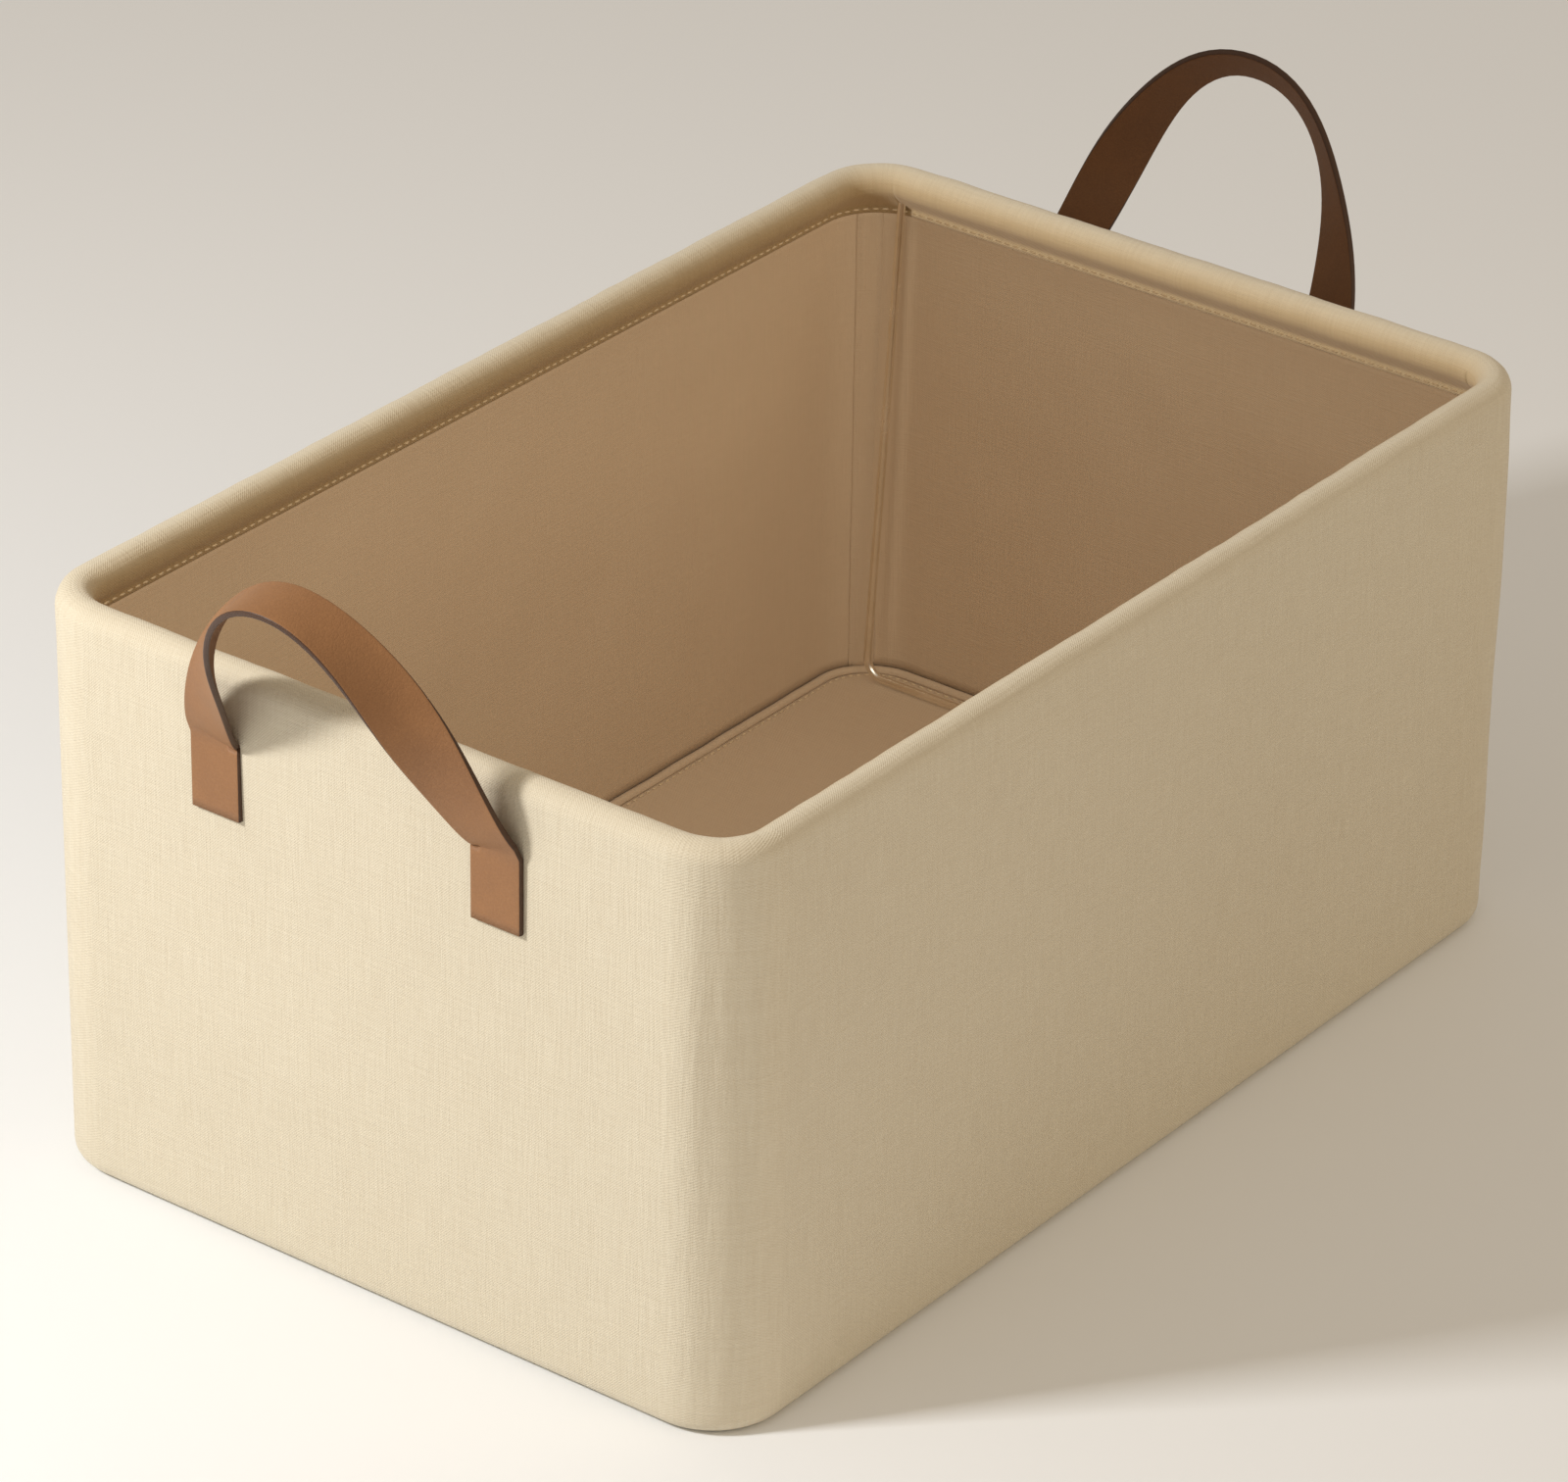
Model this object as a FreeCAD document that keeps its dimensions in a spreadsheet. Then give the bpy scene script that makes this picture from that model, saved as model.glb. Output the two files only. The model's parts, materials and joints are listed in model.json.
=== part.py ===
# Fabric storage bin: a soft box on a folding wire frame, with two strap handles.
# Millimetres. Origin at the centre of the underside, +X along the length, +Z up.
# "left" is -X, "right" is +X, "front" is -Y, "back" is +Y.
import FreeCAD, Part
import Sketcher
import math
import os

V = FreeCAD.Vector
doc = FreeCAD.newDocument("storage_bin")

# Driving sizes: name, value, meaning.
SIZES = [
    ("bin_length", 404.0, "outside length of the fabric box"),
    ("bin_width", 260.0, "outside width of the fabric box"),
    ("bin_height", 190.0, "underside to the crest of the rim"),
    ("corner_radius", 24.0, "outside radius of the upright corners"),
    ("bottom_radius", 5.0, "outside radius where the walls turn under"),
    ("turn_under", 7.0, "flat cloth turned under, past the bottom radius"),
    ("cloth", 1.0, "outer cloth thickness"),
    ("layer_gap", 0.6, "space between the outer cloth and the lining"),
    ("lining", 0.8, "lining thickness"),
    ("board", 2.0, "floor board thickness"),
    ("board_clearance", 0.2, "floor board to the bottom radius"),
    ("roll_radius", 5.6, "outside radius of the rolled rim"),
    ("hem_depth", 18.0, "crest of the rim to the lower edge of the hem"),
    ("hem_foot", 2.5, "height of the flat, sewn-down foot of the hem"),
    ("wire", 2.8, "diameter of the frame wire"),
    ("rim_wire_drop", 3.3, "crest of the rim to the rim wire's centre"),
    ("wire_gap", 0.4, "rim wire to the support pins below it"),
    ("pin_fit", 0.08, "radial clearance of a pin in its clip"),
    ("pin_length", 22.4, "support's upright to the free end of its pin"),
    ("upright_clearance", 0.4, "support's upright to the hem stitches in a corner"),
    ("upright_splay", 5.4, "how much further out an upright is at the floor"),
    ("pin_bend", 3.5, "bend radius from pin to upright"),
    ("foot_bend", 7.0, "bend radius from upright to floor bar"),
    ("bar_inset", 13.0, "outer end face to the floor bar's centre"),
    ("floor_gap", 0.3, "floor lining to the floor bar"),
    ("slot_clearance", 0.4, "hem slot beside the upright, each side"),
    ("clip_wall", 0.6, "metal round the wires in a clip"),
    ("clip_length", 8.0, "length of a clip along the wires"),
    ("clip_setback", 13.4, "support's upright to a clip's centre"),
    ("binding_width", 9.0, "corner binding, along the lining"),
    ("welt_width", 3.0, "floor binding, out from the lining"),
    ("welt_height", 2.0, "floor binding, up from the floor"),
    ("thread", 0.3, "proud height of a stitch line"),
    ("stitch_width", 0.6, "width of a stitch line"),
    ("hem_stitch_rise", 1.2, "lower edge of the hem to its stitch line"),
    ("floor_stitch_gap", 1.0, "floor binding to its stitch line"),
    ("strap_width", 18.0, "handle strap width"),
    ("strap", 2.0, "handle strap thickness"),
    ("tab_height", 25.0, "sewn-down end of a strap"),
    ("tab_drop", 22.0, "crest of the rim to the top of the tabs"),
    ("tab_spacing", 103.0, "centre to centre of one handle's tabs"),
    ("handle_shift", 3.5, "handles' centre, towards the back"),
    ("patch_margin", 3.0, "backing patch beyond its tab, all round"),
    ("loop_rise", 75.0, "fold at the top of the tabs to the crown"),
    ("loop_reach", 31.0, "fold at the top of the tabs out to the crown"),
    ("loop_lean", 35.0, "outward lean of a leg at the fold, degrees"),
    ("leg_pull", 46.0, "how far a leg keeps to its lean"),
    ("crown_pull", 24.0, "how far the crown keeps level"),
    ("crown_tilt", 20.0, "outward tilt of the crown's top face, degrees"),
    ("fold_clearance", 0.3, "loop to tab and to wall at the fold"),
]

# Worked out from them: places, fits and insets.
FITS = [
    ("half_length", "Sizes.bin_length / 2"),
    ("half_width", "Sizes.bin_width / 2"),
    ("corner_x", "half_length - Sizes.corner_radius"),
    ("corner_y", "half_width - Sizes.corner_radius"),
    ("lining_outset", "Sizes.cloth + Sizes.layer_gap"),
    ("lining_face", "lining_outset + Sizes.lining"),
    ("lining_floor", "Sizes.cloth + Sizes.board"),
    ("floor_top", "lining_floor + Sizes.lining"),
    ("turned_edge", "Sizes.bottom_radius + Sizes.turn_under"),
    ("turned_x", "half_length - turned_edge"),
    ("base_length", "Sizes.bin_length - 2 * turned_edge"),
    ("base_width", "Sizes.bin_width - 2 * turned_edge"),
    ("base_corner", "Sizes.corner_radius - turned_edge"),
    ("board_inset", "Sizes.bottom_radius + Sizes.board_clearance"),
    ("board_length", "Sizes.bin_length - 2 * board_inset"),
    ("board_width", "Sizes.bin_width - 2 * board_inset"),
    ("board_corner", "Sizes.corner_radius - board_inset"),
    ("floor_length", "Sizes.bin_length - 2 * lining_face"),
    ("floor_width", "Sizes.bin_width - 2 * lining_face"),
    ("floor_corner", "Sizes.corner_radius - lining_face"),
    ("hem_edge", "Sizes.bin_height - Sizes.hem_depth"),
    ("foot_top", "hem_edge + Sizes.hem_foot"),
    ("roll_level", "Sizes.bin_height - Sizes.roll_radius"),
    ("roll_bore", "Sizes.roll_radius - Sizes.cloth"),
    ("foot_outer_x", "half_length - lining_face"),
    ("foot_inner_x", "foot_outer_x - Sizes.cloth"),
    ("panel_corner", "Sizes.corner_radius - lining_outset"),
    ("panel_height", "foot_top - Sizes.bottom_radius"),
    ("binding_inner", "floor_corner - Sizes.lining"),
    ("binding_angle", "Sizes.binding_width / floor_corner * 180 / pi"),
    ("binding_base", "floor_top + Sizes.welt_height"),
    ("binding_height", "hem_edge - binding_base"),
    ("welt_length", "floor_length - 2 * Sizes.welt_width"),
    ("welt_span", "floor_width - 2 * Sizes.welt_width"),
    ("welt_corner", "floor_corner - Sizes.welt_width"),
    ("seam_length", "welt_length - 2 * Sizes.floor_stitch_gap"),
    ("seam_width", "welt_span - 2 * Sizes.floor_stitch_gap"),
    ("seam_corner", "welt_corner - Sizes.floor_stitch_gap"),
    ("seam_hole_length", "seam_length - 2 * Sizes.stitch_width"),
    ("seam_hole_width", "seam_width - 2 * Sizes.stitch_width"),
    ("seam_hole_corner", "seam_corner - Sizes.stitch_width"),
    ("hem_length", "floor_length - 2 * Sizes.cloth"),
    ("hem_width", "floor_width - 2 * Sizes.cloth"),
    ("hem_corner", "floor_corner - Sizes.cloth"),
    ("hem_hole_length", "hem_length - 2 * Sizes.thread"),
    ("hem_hole_width", "hem_width - 2 * Sizes.thread"),
    ("hem_hole_corner", "hem_corner - Sizes.thread"),
    ("hem_stitch_level", "hem_edge + Sizes.hem_stitch_rise"),
    ("wire_radius", "Sizes.wire / 2"),
    ("stitch_inset", "lining_face + Sizes.cloth + Sizes.thread"),
    ("least_wire_inset", "stitch_inset + Sizes.upright_clearance + wire_radius"),
    ("wire_inset", "max(Sizes.roll_radius; least_wire_inset)"),
    ("rim_wire_level", "Sizes.bin_height - Sizes.rim_wire_drop"),
    ("rim_wire_length", "Sizes.bin_length - 2 * wire_inset"),
    ("rim_wire_width", "Sizes.bin_width - 2 * wire_inset"),
    ("rim_wire_corner", "Sizes.corner_radius - wire_inset"),
    ("rim_wire_x", "half_length - wire_inset"),
    ("pin_level", "rim_wire_level - Sizes.wire - Sizes.wire_gap"),
    ("bar_level", "floor_top + Sizes.floor_gap + wire_radius"),
    ("bar_step", "Sizes.bar_inset - wire_inset"),
    ("support_drop", "sqrt((pin_level - bar_level) ^ 2 + bar_step ^ 2)"),
    ("support_tilt", "asin(bar_step / support_drop) / 1 deg"),
    ("upright_x", "rim_wire_x - bar_step * (pin_level - hem_stitch_level) / (pin_level - bar_level)"),
    ("upright_reach", "hem_hole_corner - Sizes.upright_clearance - wire_radius"),
    ("support_top", "corner_y + sqrt(upright_reach ^ 2 - (upright_x - corner_x) ^ 2)"),
    ("support_foot", "support_top + Sizes.upright_splay"),
    ("pin_end", "support_top - Sizes.pin_length"),
    ("clip_place", "support_top - Sizes.clip_setback"),
    ("slot_width", "Sizes.wire + 2 * Sizes.slot_clearance"),
    ("slot_near_x", "half_length - 3 * Sizes.roll_radius"),
    ("slot_far_x", "rim_wire_x + slot_width / 2"),
    ("slot_low_y", "support_top - slot_width / 2"),
    ("slot_high_y", "support_top + slot_width / 2"),
    ("slot_top", "pin_level + slot_width / 2"),
    ("slot_height", "slot_top - foot_top"),
    ("clip_radius", "wire_radius + Sizes.clip_wall"),
    ("fold_level", "Sizes.bin_height - Sizes.tab_drop"),
    ("tab_bottom", "fold_level - Sizes.tab_height"),
    ("patch_width", "Sizes.strap_width + 2 * Sizes.patch_margin"),
    ("patch_height", "Sizes.tab_height + 2 * Sizes.patch_margin"),
    ("patch_bottom", "tab_bottom - Sizes.patch_margin"),
]

sheet = doc.addObject("Spreadsheet::Sheet", "Sizes")
for row, (name, number, note) in enumerate(SIZES, start=1):
    sheet.set(f"A{row}", note)
    sheet.set(f"B{row}", str(number))
    sheet.setAlias(f"B{row}", name)
doc.recompute()

fits = doc.addObject("App::VarSet", "Fits")
for name, formula in FITS:
    fits.addProperty("App::PropertyFloat", name)
    fits.setExpression(name, formula)
doc.recompute()

SIZE_NAMES = [name for name, _, _ in SIZES]
SUBPARTS = []


def cell(name):
    """Expression for a named size."""
    return f"Sizes.{name}" if name in SIZE_NAMES else f"Fits.{name}"


def value(name):
    """A named size as a number."""
    return float(getattr(sheet if name in SIZE_NAMES else fits, name))


def new_body(label):
    body = doc.addObject("PartDesign::Body", label)
    body.Label = label
    SUBPARTS.append(body)
    return body


def new_sketch(body, name, role="XY_Plane", level=None):
    """A sketch on one of the body's own planes, moved along its normal by a size."""
    sketch = body.newObject("Sketcher::SketchObject", f"{body.Name}_{name}")
    plane = [item for item in body.Origin.OriginFeatures if item.Role == role][0]
    sketch.AttachmentSupport = [(plane, "")]
    sketch.MapMode = "FlatFace"
    if level:
        sketch.setExpression("AttachmentOffset.Base.z", level)
    return sketch


def line(sketch, start, end):
    return sketch.addGeometry(Part.LineSegment(V(*start, 0), V(*end, 0)), False)


def arc(sketch, centre, radius, start, end):
    """An arc from one angle to another, in degrees, counter-clockwise."""
    circle = Part.Circle(V(*centre, 0), V(0, 0, 1), radius)
    span = Part.ArcOfCircle(circle, math.radians(start), math.radians(end))
    return sketch.addGeometry(span, False)


def rule(sketch, kind, *items):
    sketch.addConstraint(Sketcher.Constraint(kind, *items))


def bind(sketch, name, sign, kind, *items):
    """A dimension tied to a named size."""
    index = sketch.addConstraint(Sketcher.Constraint(kind, *items, sign * value(name)))
    minus = "-" if sign < 0 else ""
    sketch.setExpression(f"Constraints[{index}]", f"{minus}{cell(name)}")


def radius(sketch, item, name):
    bind(sketch, name, 1, "Radius", item)


def across(sketch, item, end, name, sign=1):
    bind(sketch, name, sign, "DistanceX", -1, 1, item, end)


def up(sketch, item, end, name, sign=1):
    bind(sketch, name, sign, "DistanceY", -1, 1, item, end)


def rounded_rectangle(sketch, length, width, corner):
    """A closed outline centred on the origin. It starts at the middle of its +X side."""
    half_x, half_y, bend = value(length) / 2, value(width) / 2, value(corner)
    in_x, in_y = half_x - bend, half_y - bend
    parts = [
        line(sketch, (half_x, 0), (half_x, in_y)),
        arc(sketch, (in_x, in_y), bend, 0, 90),
        line(sketch, (in_x, half_y), (-in_x, half_y)),
        arc(sketch, (-in_x, in_y), bend, 90, 180),
        line(sketch, (-half_x, in_y), (-half_x, -in_y)),
        arc(sketch, (-in_x, -in_y), bend, 180, 270),
        line(sketch, (-in_x, -half_y), (in_x, -half_y)),
        arc(sketch, (in_x, -in_y), bend, 270, 360),
        line(sketch, (half_x, -in_y), (half_x, 0)),
    ]
    first, arc_a, top, arc_b, left, arc_c, low, arc_d, last = parts
    for before, after in zip(parts[:-1], parts[1:]):
        rule(sketch, "Tangent", before, 2, after, 1)
    rule(sketch, "Coincident", last, 2, first, 1)
    rule(sketch, "PointOnObject", first, 1, -1)
    for upright in (first, left, last):
        rule(sketch, "Vertical", upright)
    for flat in (top, low):
        rule(sketch, "Horizontal", flat)
    for other in (arc_b, arc_c, arc_d):
        rule(sketch, "Equal", arc_a, other)
    rule(sketch, "Symmetric", arc_a, 3, arc_c, 3, -1, 1)
    radius(sketch, arc_a, corner)
    index = sketch.addConstraint(Sketcher.Constraint("DistanceX", left, 1, first, 2, 2 * half_x))
    sketch.setExpression(f"Constraints[{index}]", cell(length))
    index = sketch.addConstraint(Sketcher.Constraint("DistanceY", low, 1, top, 1, 2 * half_y))
    sketch.setExpression(f"Constraints[{index}]", cell(width))


def pad(body, sketch, height):
    feature = body.newObject("PartDesign::Pad", f"{body.Name}_pad")
    feature.Profile = sketch
    feature.setExpression("Length", cell(height))
    return feature


def pipe(body, profile, spine):
    doc.recompute()
    feature = body.newObject("PartDesign::AdditivePipe", f"{body.Name}_pipe")
    feature.Profile = profile
    feature.Spine = (spine, [f"Edge{i + 1}" for i in range(len(spine.Shape.Edges))])
    return feature


def place(body, x, y, z, turn=0):
    """Turns a body about Z and moves it to three expressions."""
    body.Placement = FreeCAD.Placement(V(0, 0, 0), FreeCAD.Rotation(V(0, 0, 1), turn))
    for axis, expression in (("x", x), ("y", y), ("z", z)):
        body.setExpression(f"Placement.Base.{axis}", expression)


def slab(label, level, height, outline, hole=None):
    """A flat rounded rectangle, or a band where it has a hole."""
    body = new_body(label)
    sketch = new_sketch(body, "outline", level=cell(level) if level else None)
    rounded_rectangle(sketch, *outline)
    if hole:
        rounded_rectangle(sketch, *hole)
    pad(body, sketch, height)


def make_outer_fabric():
    """Walls, turned-under edge, rolled rim and inner hem, all of one cloth."""
    body = new_body("outer_fabric")
    path = new_sketch(body, "path")
    rounded_rectangle(path, "bin_length", "bin_width", "corner_radius")

    profile = new_sketch(body, "profile", "XZ_Plane")
    out, low, roll, bore = value("half_length"), value("bottom_radius"), value("roll_radius"), value("roll_bore")
    cloth, level, foot, edge = value("cloth"), value("roll_level"), value("foot_top"), value("hem_edge")
    inner, outer, turned = value("foot_inner_x"), value("foot_outer_x"), value("turned_x")
    # The flank is the tangent from the top of the foot to the roll.
    axis_x = out - roll
    away = math.hypot(inner - axis_x, foot - level)
    aim = math.atan2(foot - level, inner - axis_x)
    touch = aim - math.acos(roll / away) + 2 * math.pi
    face_x, face_z = math.cos(touch), math.sin(touch)
    flank_top = (axis_x + roll * face_x, level + roll * face_z)
    back_top = (axis_x + bore * face_x, level + bore * face_z)
    back_foot = back_top[1] + (outer - back_top[0]) * (flank_top[1] - foot) / (flank_top[0] - inner)

    base = line(profile, (turned, 0), (out - low, 0))
    turn = arc(profile, (out - low, low), low, 270, 360)
    wall = line(profile, (out, low), (out, level))
    crest = arc(profile, (axis_x, level), roll, 0, math.degrees(touch))
    flank = line(profile, flank_top, (inner, foot))
    foot_face = line(profile, (inner, foot), (inner, edge))
    foot_end = line(profile, (inner, edge), (outer, edge))
    foot_back = line(profile, (outer, edge), (outer, back_foot))
    flank_back = line(profile, (outer, back_foot), back_top)
    crest_back = arc(profile, (axis_x, level), bore, 0, math.degrees(touch))
    wall_back = line(profile, (out - cloth, level), (out - cloth, low))
    turn_back = arc(profile, (out - low, low), low - cloth, 270, 360)
    base_back = line(profile, (out - low, cloth), (turned, cloth))
    base_end = line(profile, (turned, cloth), (turned, 0))

    for ends in ((base, 2, turn, 1), (turn, 2, wall, 1), (wall, 2, crest, 1), (crest, 2, flank, 1),
                 (flank_back, 2, crest_back, 2), (crest_back, 1, wall_back, 1),
                 (wall_back, 2, turn_back, 2), (turn_back, 1, base_back, 1)):
        rule(profile, "Tangent", *ends)
    for ends in ((flank, 2, foot_face, 1), (foot_face, 2, foot_end, 1), (foot_end, 2, foot_back, 1),
                 (foot_back, 2, flank_back, 1), (base_back, 2, base_end, 1), (base_end, 2, base, 1),
                 (crest, 3, crest_back, 3), (turn, 3, turn_back, 3)):
        rule(profile, "Coincident", *ends)
    for flat in (base, foot_end):
        rule(profile, "Horizontal", flat)
    for upright in (wall, foot_face, foot_back, wall_back, base_end):
        rule(profile, "Vertical", upright)
    rule(profile, "Horizontal", base_back)
    rule(profile, "Parallel", flank, flank_back)
    rule(profile, "PointOnObject", base, 1, -1)
    across(profile, base, 1, "turned_x")
    across(profile, wall, 1, "half_length")
    across(profile, foot_face, 1, "foot_inner_x")
    across(profile, foot_back, 1, "foot_outer_x")
    up(profile, foot_face, 1, "foot_top")
    up(profile, foot_end, 1, "hem_edge")
    up(profile, crest, 3, "roll_level")
    radius(profile, turn, "bottom_radius")
    radius(profile, crest, "roll_radius")
    radius(profile, crest_back, "roll_bore")
    pipe(body, profile, path)
    doc.recompute()

    # Four slots in the hem let the supports swing out of it.
    slots = new_sketch(body, "slots", level=cell("slot_top"))
    near, far = value("slot_near_x"), value("slot_far_x")
    low_y, high_y = value("slot_low_y"), value("slot_high_y")
    for side_x in (1, -1):
        for side_y in (1, -1):
            spots = [(side_x * near, side_y * low_y), (side_x * far, side_y * low_y),
                     (side_x * far, side_y * high_y), (side_x * near, side_y * high_y)]
            edges = [line(slots, spots[i], spots[(i + 1) % 4]) for i in range(4)]
            for i in range(4):
                rule(slots, "Coincident", edges[i], 2, edges[(i + 1) % 4], 1)
                rule(slots, "Vertical" if i % 2 else "Horizontal", edges[i])
            across(slots, edges[0], 1, "slot_near_x", side_x)
            across(slots, edges[0], 2, "slot_far_x", side_x)
            up(slots, edges[0], 1, "slot_low_y", side_y)
            up(slots, edges[2], 1, "slot_high_y", side_y)
    cut = body.newObject("PartDesign::Pocket", "outer_fabric_slot_cut")
    cut.Profile = slots
    cut.setExpression("Length", cell("slot_height"))


def make_floor():
    floor = ("floor_length", "floor_width", "floor_corner")
    slab("base_fabric", None, "cloth", ("base_length", "base_width", "base_corner"))
    slab("base_board", "cloth", "board", ("board_length", "board_width", "board_corner"))
    slab("floor_lining", "lining_floor", "lining", floor)
    slab("floor_binding", "floor_top", "welt_height", floor, ("welt_length", "welt_span", "welt_corner"))
    slab("floor_stitching", "floor_top", "thread", ("seam_length", "seam_width", "seam_corner"),
         ("seam_hole_length", "seam_hole_width", "seam_hole_corner"))
    slab("hem_stitching", "hem_stitch_level", "stitch_width", ("hem_length", "hem_width", "hem_corner"),
         ("hem_hole_length", "hem_hole_width", "hem_hole_corner"))


def make_lining_panel(label, run_name, out_name, turn):
    """One inner wall panel, drawn at the back. It runs to the middle of both its corners."""
    body = new_body(label)
    sketch = new_sketch(body, "plan", level=cell("bottom_radius"))
    run, out = value(run_name), value(out_name)
    big, small = value("panel_corner"), value("floor_corner")
    slant = math.sqrt(0.5)
    face = line(sketch, (run, out + big), (-run, out + big))
    arc_left = arc(sketch, (-run, out), big, 90, 135)
    back_left = arc(sketch, (-run, out), small, 90, 135)
    back = line(sketch, (-run, out + small), (run, out + small))
    back_right = arc(sketch, (run, out), small, 45, 90)
    arc_right = arc(sketch, (run, out), big, 45, 90)
    end_left = line(sketch, (-run - big * slant, out + big * slant), (-run - small * slant, out + small * slant))
    end_right = line(sketch, (run + small * slant, out + small * slant), (run + big * slant, out + big * slant))

    for ends in ((face, 2, arc_left, 1), (back_left, 1, back, 1), (back, 2, back_right, 2),
                 (arc_right, 2, face, 1)):
        rule(sketch, "Tangent", *ends)
    for ends in ((arc_left, 2, end_left, 1), (end_left, 2, back_left, 2), (back_right, 1, end_right, 1),
                 (end_right, 2, arc_right, 1), (arc_left, 3, back_left, 3), (arc_right, 3, back_right, 3)):
        rule(sketch, "Coincident", *ends)
    rule(sketch, "Horizontal", face)
    rule(sketch, "PointOnObject", arc_right, 3, end_right)
    rule(sketch, "PointOnObject", arc_left, 3, end_left)
    rule(sketch, "Angle", end_right, math.radians(45))
    rule(sketch, "Angle", end_left, math.radians(-45))
    rule(sketch, "Equal", arc_left, arc_right)
    rule(sketch, "Equal", back_left, back_right)
    radius(sketch, arc_right, "panel_corner")
    radius(sketch, back_right, "floor_corner")
    across(sketch, arc_right, 3, run_name)
    across(sketch, arc_left, 3, run_name, -1)
    up(sketch, arc_right, 3, out_name)
    pad(body, sketch, "panel_height")
    place(body, "0", "0", "0", turn)


def make_corner_binding(label, side_x, side_y):
    """A flat strip up one inner corner, over the seam of two lining panels."""
    body = new_body(label)
    sketch = new_sketch(body, "plan")
    outer, inner, half = value("floor_corner"), value("binding_inner"), value("binding_angle") / 2
    cos, sin = math.cos(math.radians(half)), math.sin(math.radians(half))
    front = arc(sketch, (0, 0), outer, -half, half)
    rear = arc(sketch, (0, 0), inner, -half, half)
    top = line(sketch, (inner * cos, inner * sin), (outer * cos, outer * sin))
    low = line(sketch, (outer * cos, -outer * sin), (inner * cos, -inner * sin))
    for ends in ((front, 2, top, 2), (top, 1, rear, 2), (rear, 1, low, 2), (low, 1, front, 1),
                 (front, 3, -1, 1), (rear, 3, -1, 1)):
        rule(sketch, "Coincident", *ends)
    rule(sketch, "PointOnObject", -1, 1, top)
    rule(sketch, "Symmetric", front, 1, front, 2, -1)
    rule(sketch, "Symmetric", rear, 1, rear, 2, -1)
    radius(sketch, front, "floor_corner")
    radius(sketch, rear, "binding_inner")
    index = sketch.addConstraint(Sketcher.Constraint("Angle", top, math.radians(half)))
    sketch.setExpression(f"Constraints[{index}]", f"{cell('binding_angle')} / 2 * 1 deg")
    pad(body, sketch, "binding_height")
    facing = math.degrees(math.atan2(side_y, side_x))
    place(body, f"{side_x} * Fits.corner_x", f"{side_y} * Fits.corner_y", "Fits.binding_base", facing)


def make_rim_frame():
    """The closed wire in the rolled rim."""
    body = new_body("rim_frame")
    path = new_sketch(body, "path", level=cell("rim_wire_level"))
    rounded_rectangle(path, "rim_wire_length", "rim_wire_width", "rim_wire_corner")
    section = new_sketch(body, "section", "XZ_Plane")
    centre = V(value("rim_wire_x"), value("rim_wire_level"), 0)
    circle = section.addGeometry(Part.Circle(centre, V(0, 0, 1), value("wire_radius")), False)
    radius(section, circle, "wire_radius")
    across(section, circle, 3, "rim_wire_x")
    up(section, circle, 3, "rim_wire_level")
    pipe(body, section, path)


def make_support_frame(label, side):
    """One folding support: pin, upright, floor bar, upright, pin.

    It is drawn flat in the body's YZ plane, with its pins on the Y axis, and tilted about them.
    """
    body = new_body(label)
    path = new_sketch(body, "path", "YZ_Plane")
    end, top, foot = value("pin_end"), value("support_top"), value("support_foot")
    drop, bend, low_bend = value("support_drop"), value("pin_bend"), value("foot_bend")
    lean = math.atan2(foot - top, drop)
    cut_high = bend * math.tan(math.pi / 4 + lean / 2)
    cut_low = low_bend * math.tan(math.pi / 4 - lean / 2)
    high = (top + cut_high * math.sin(lean), -cut_high * math.cos(lean))
    low = (foot - cut_low * math.sin(lean), -drop + cut_low * math.cos(lean))
    slant = math.degrees(lean)

    pins, bends, legs, feet, marks = {}, {}, {}, {}, {}
    for s in (1, -1):
        pins[s] = line(path, (s * end, 0), (s * (top - cut_high), 0))
        span = (slant, 90) if s > 0 else (90, 180 - slant)
        bends[s] = arc(path, (s * (top - cut_high), -bend), bend, *span)
        legs[s] = line(path, (s * high[0], high[1]), (s * low[0], low[1]))
        span = (270, 360 + slant) if s > 0 else (180 - slant, 270)
        feet[s] = arc(path, (s * (foot - cut_low), -drop + low_bend), low_bend, *span)
        marks[s] = [path.addGeometry(Part.Point(V(s * spot[0], spot[1], 0)), True)
                    for spot in ((top, 0), (foot, -drop))]
    bar = line(path, (foot - cut_low, -drop), (cut_low - foot, -drop))

    for s in (1, -1):
        near, far = (1, 2) if s > 0 else (2, 1)
        rule(path, "PointOnObject", pins[s], 1, -1)
        rule(path, "Horizontal", pins[s])
        rule(path, "Tangent", pins[s], 2, bends[s], far)
        rule(path, "Tangent", bends[s], near, legs[s], 1)
        rule(path, "Tangent", legs[s], 2, feet[s], far)
        rule(path, "Tangent", feet[s], near, bar, near)
        radius(path, bends[s], "pin_bend")
        radius(path, feet[s], "foot_bend")
        across(path, pins[s], 1, "pin_end", s)
        for mark, name in zip(marks[s], ("support_top", "support_foot")):
            rule(path, "PointOnObject", mark, 1, legs[s])
            across(path, mark, 1, name, s)
        rule(path, "PointOnObject", marks[s][0], 1, -1)
        rule(path, "PointOnObject", marks[s][1], 1, bar)
    rule(path, "Horizontal", bar)
    up(path, bar, 1, "support_drop", -1)

    section = new_sketch(body, "section", "XZ_Plane", f"-{cell('pin_end')}")
    circle = section.addGeometry(Part.Circle(V(0, 0, 0), V(0, 0, 1), value("wire_radius")), False)
    rule(section, "Coincident", circle, 3, -1, 1)
    radius(section, circle, "wire_radius")
    pipe(body, section, path)
    tilt = FreeCAD.Rotation(V(0, side, 0), value("support_tilt"))
    body.Placement = FreeCAD.Placement(V(0, 0, 0), tilt)
    body.setExpression("Placement.Rotation.Angle", cell("support_tilt"))
    body.setExpression("Placement.Base.x", f"{side} * Fits.rim_wire_x")
    body.setExpression("Placement.Base.z", cell("pin_level"))


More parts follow.
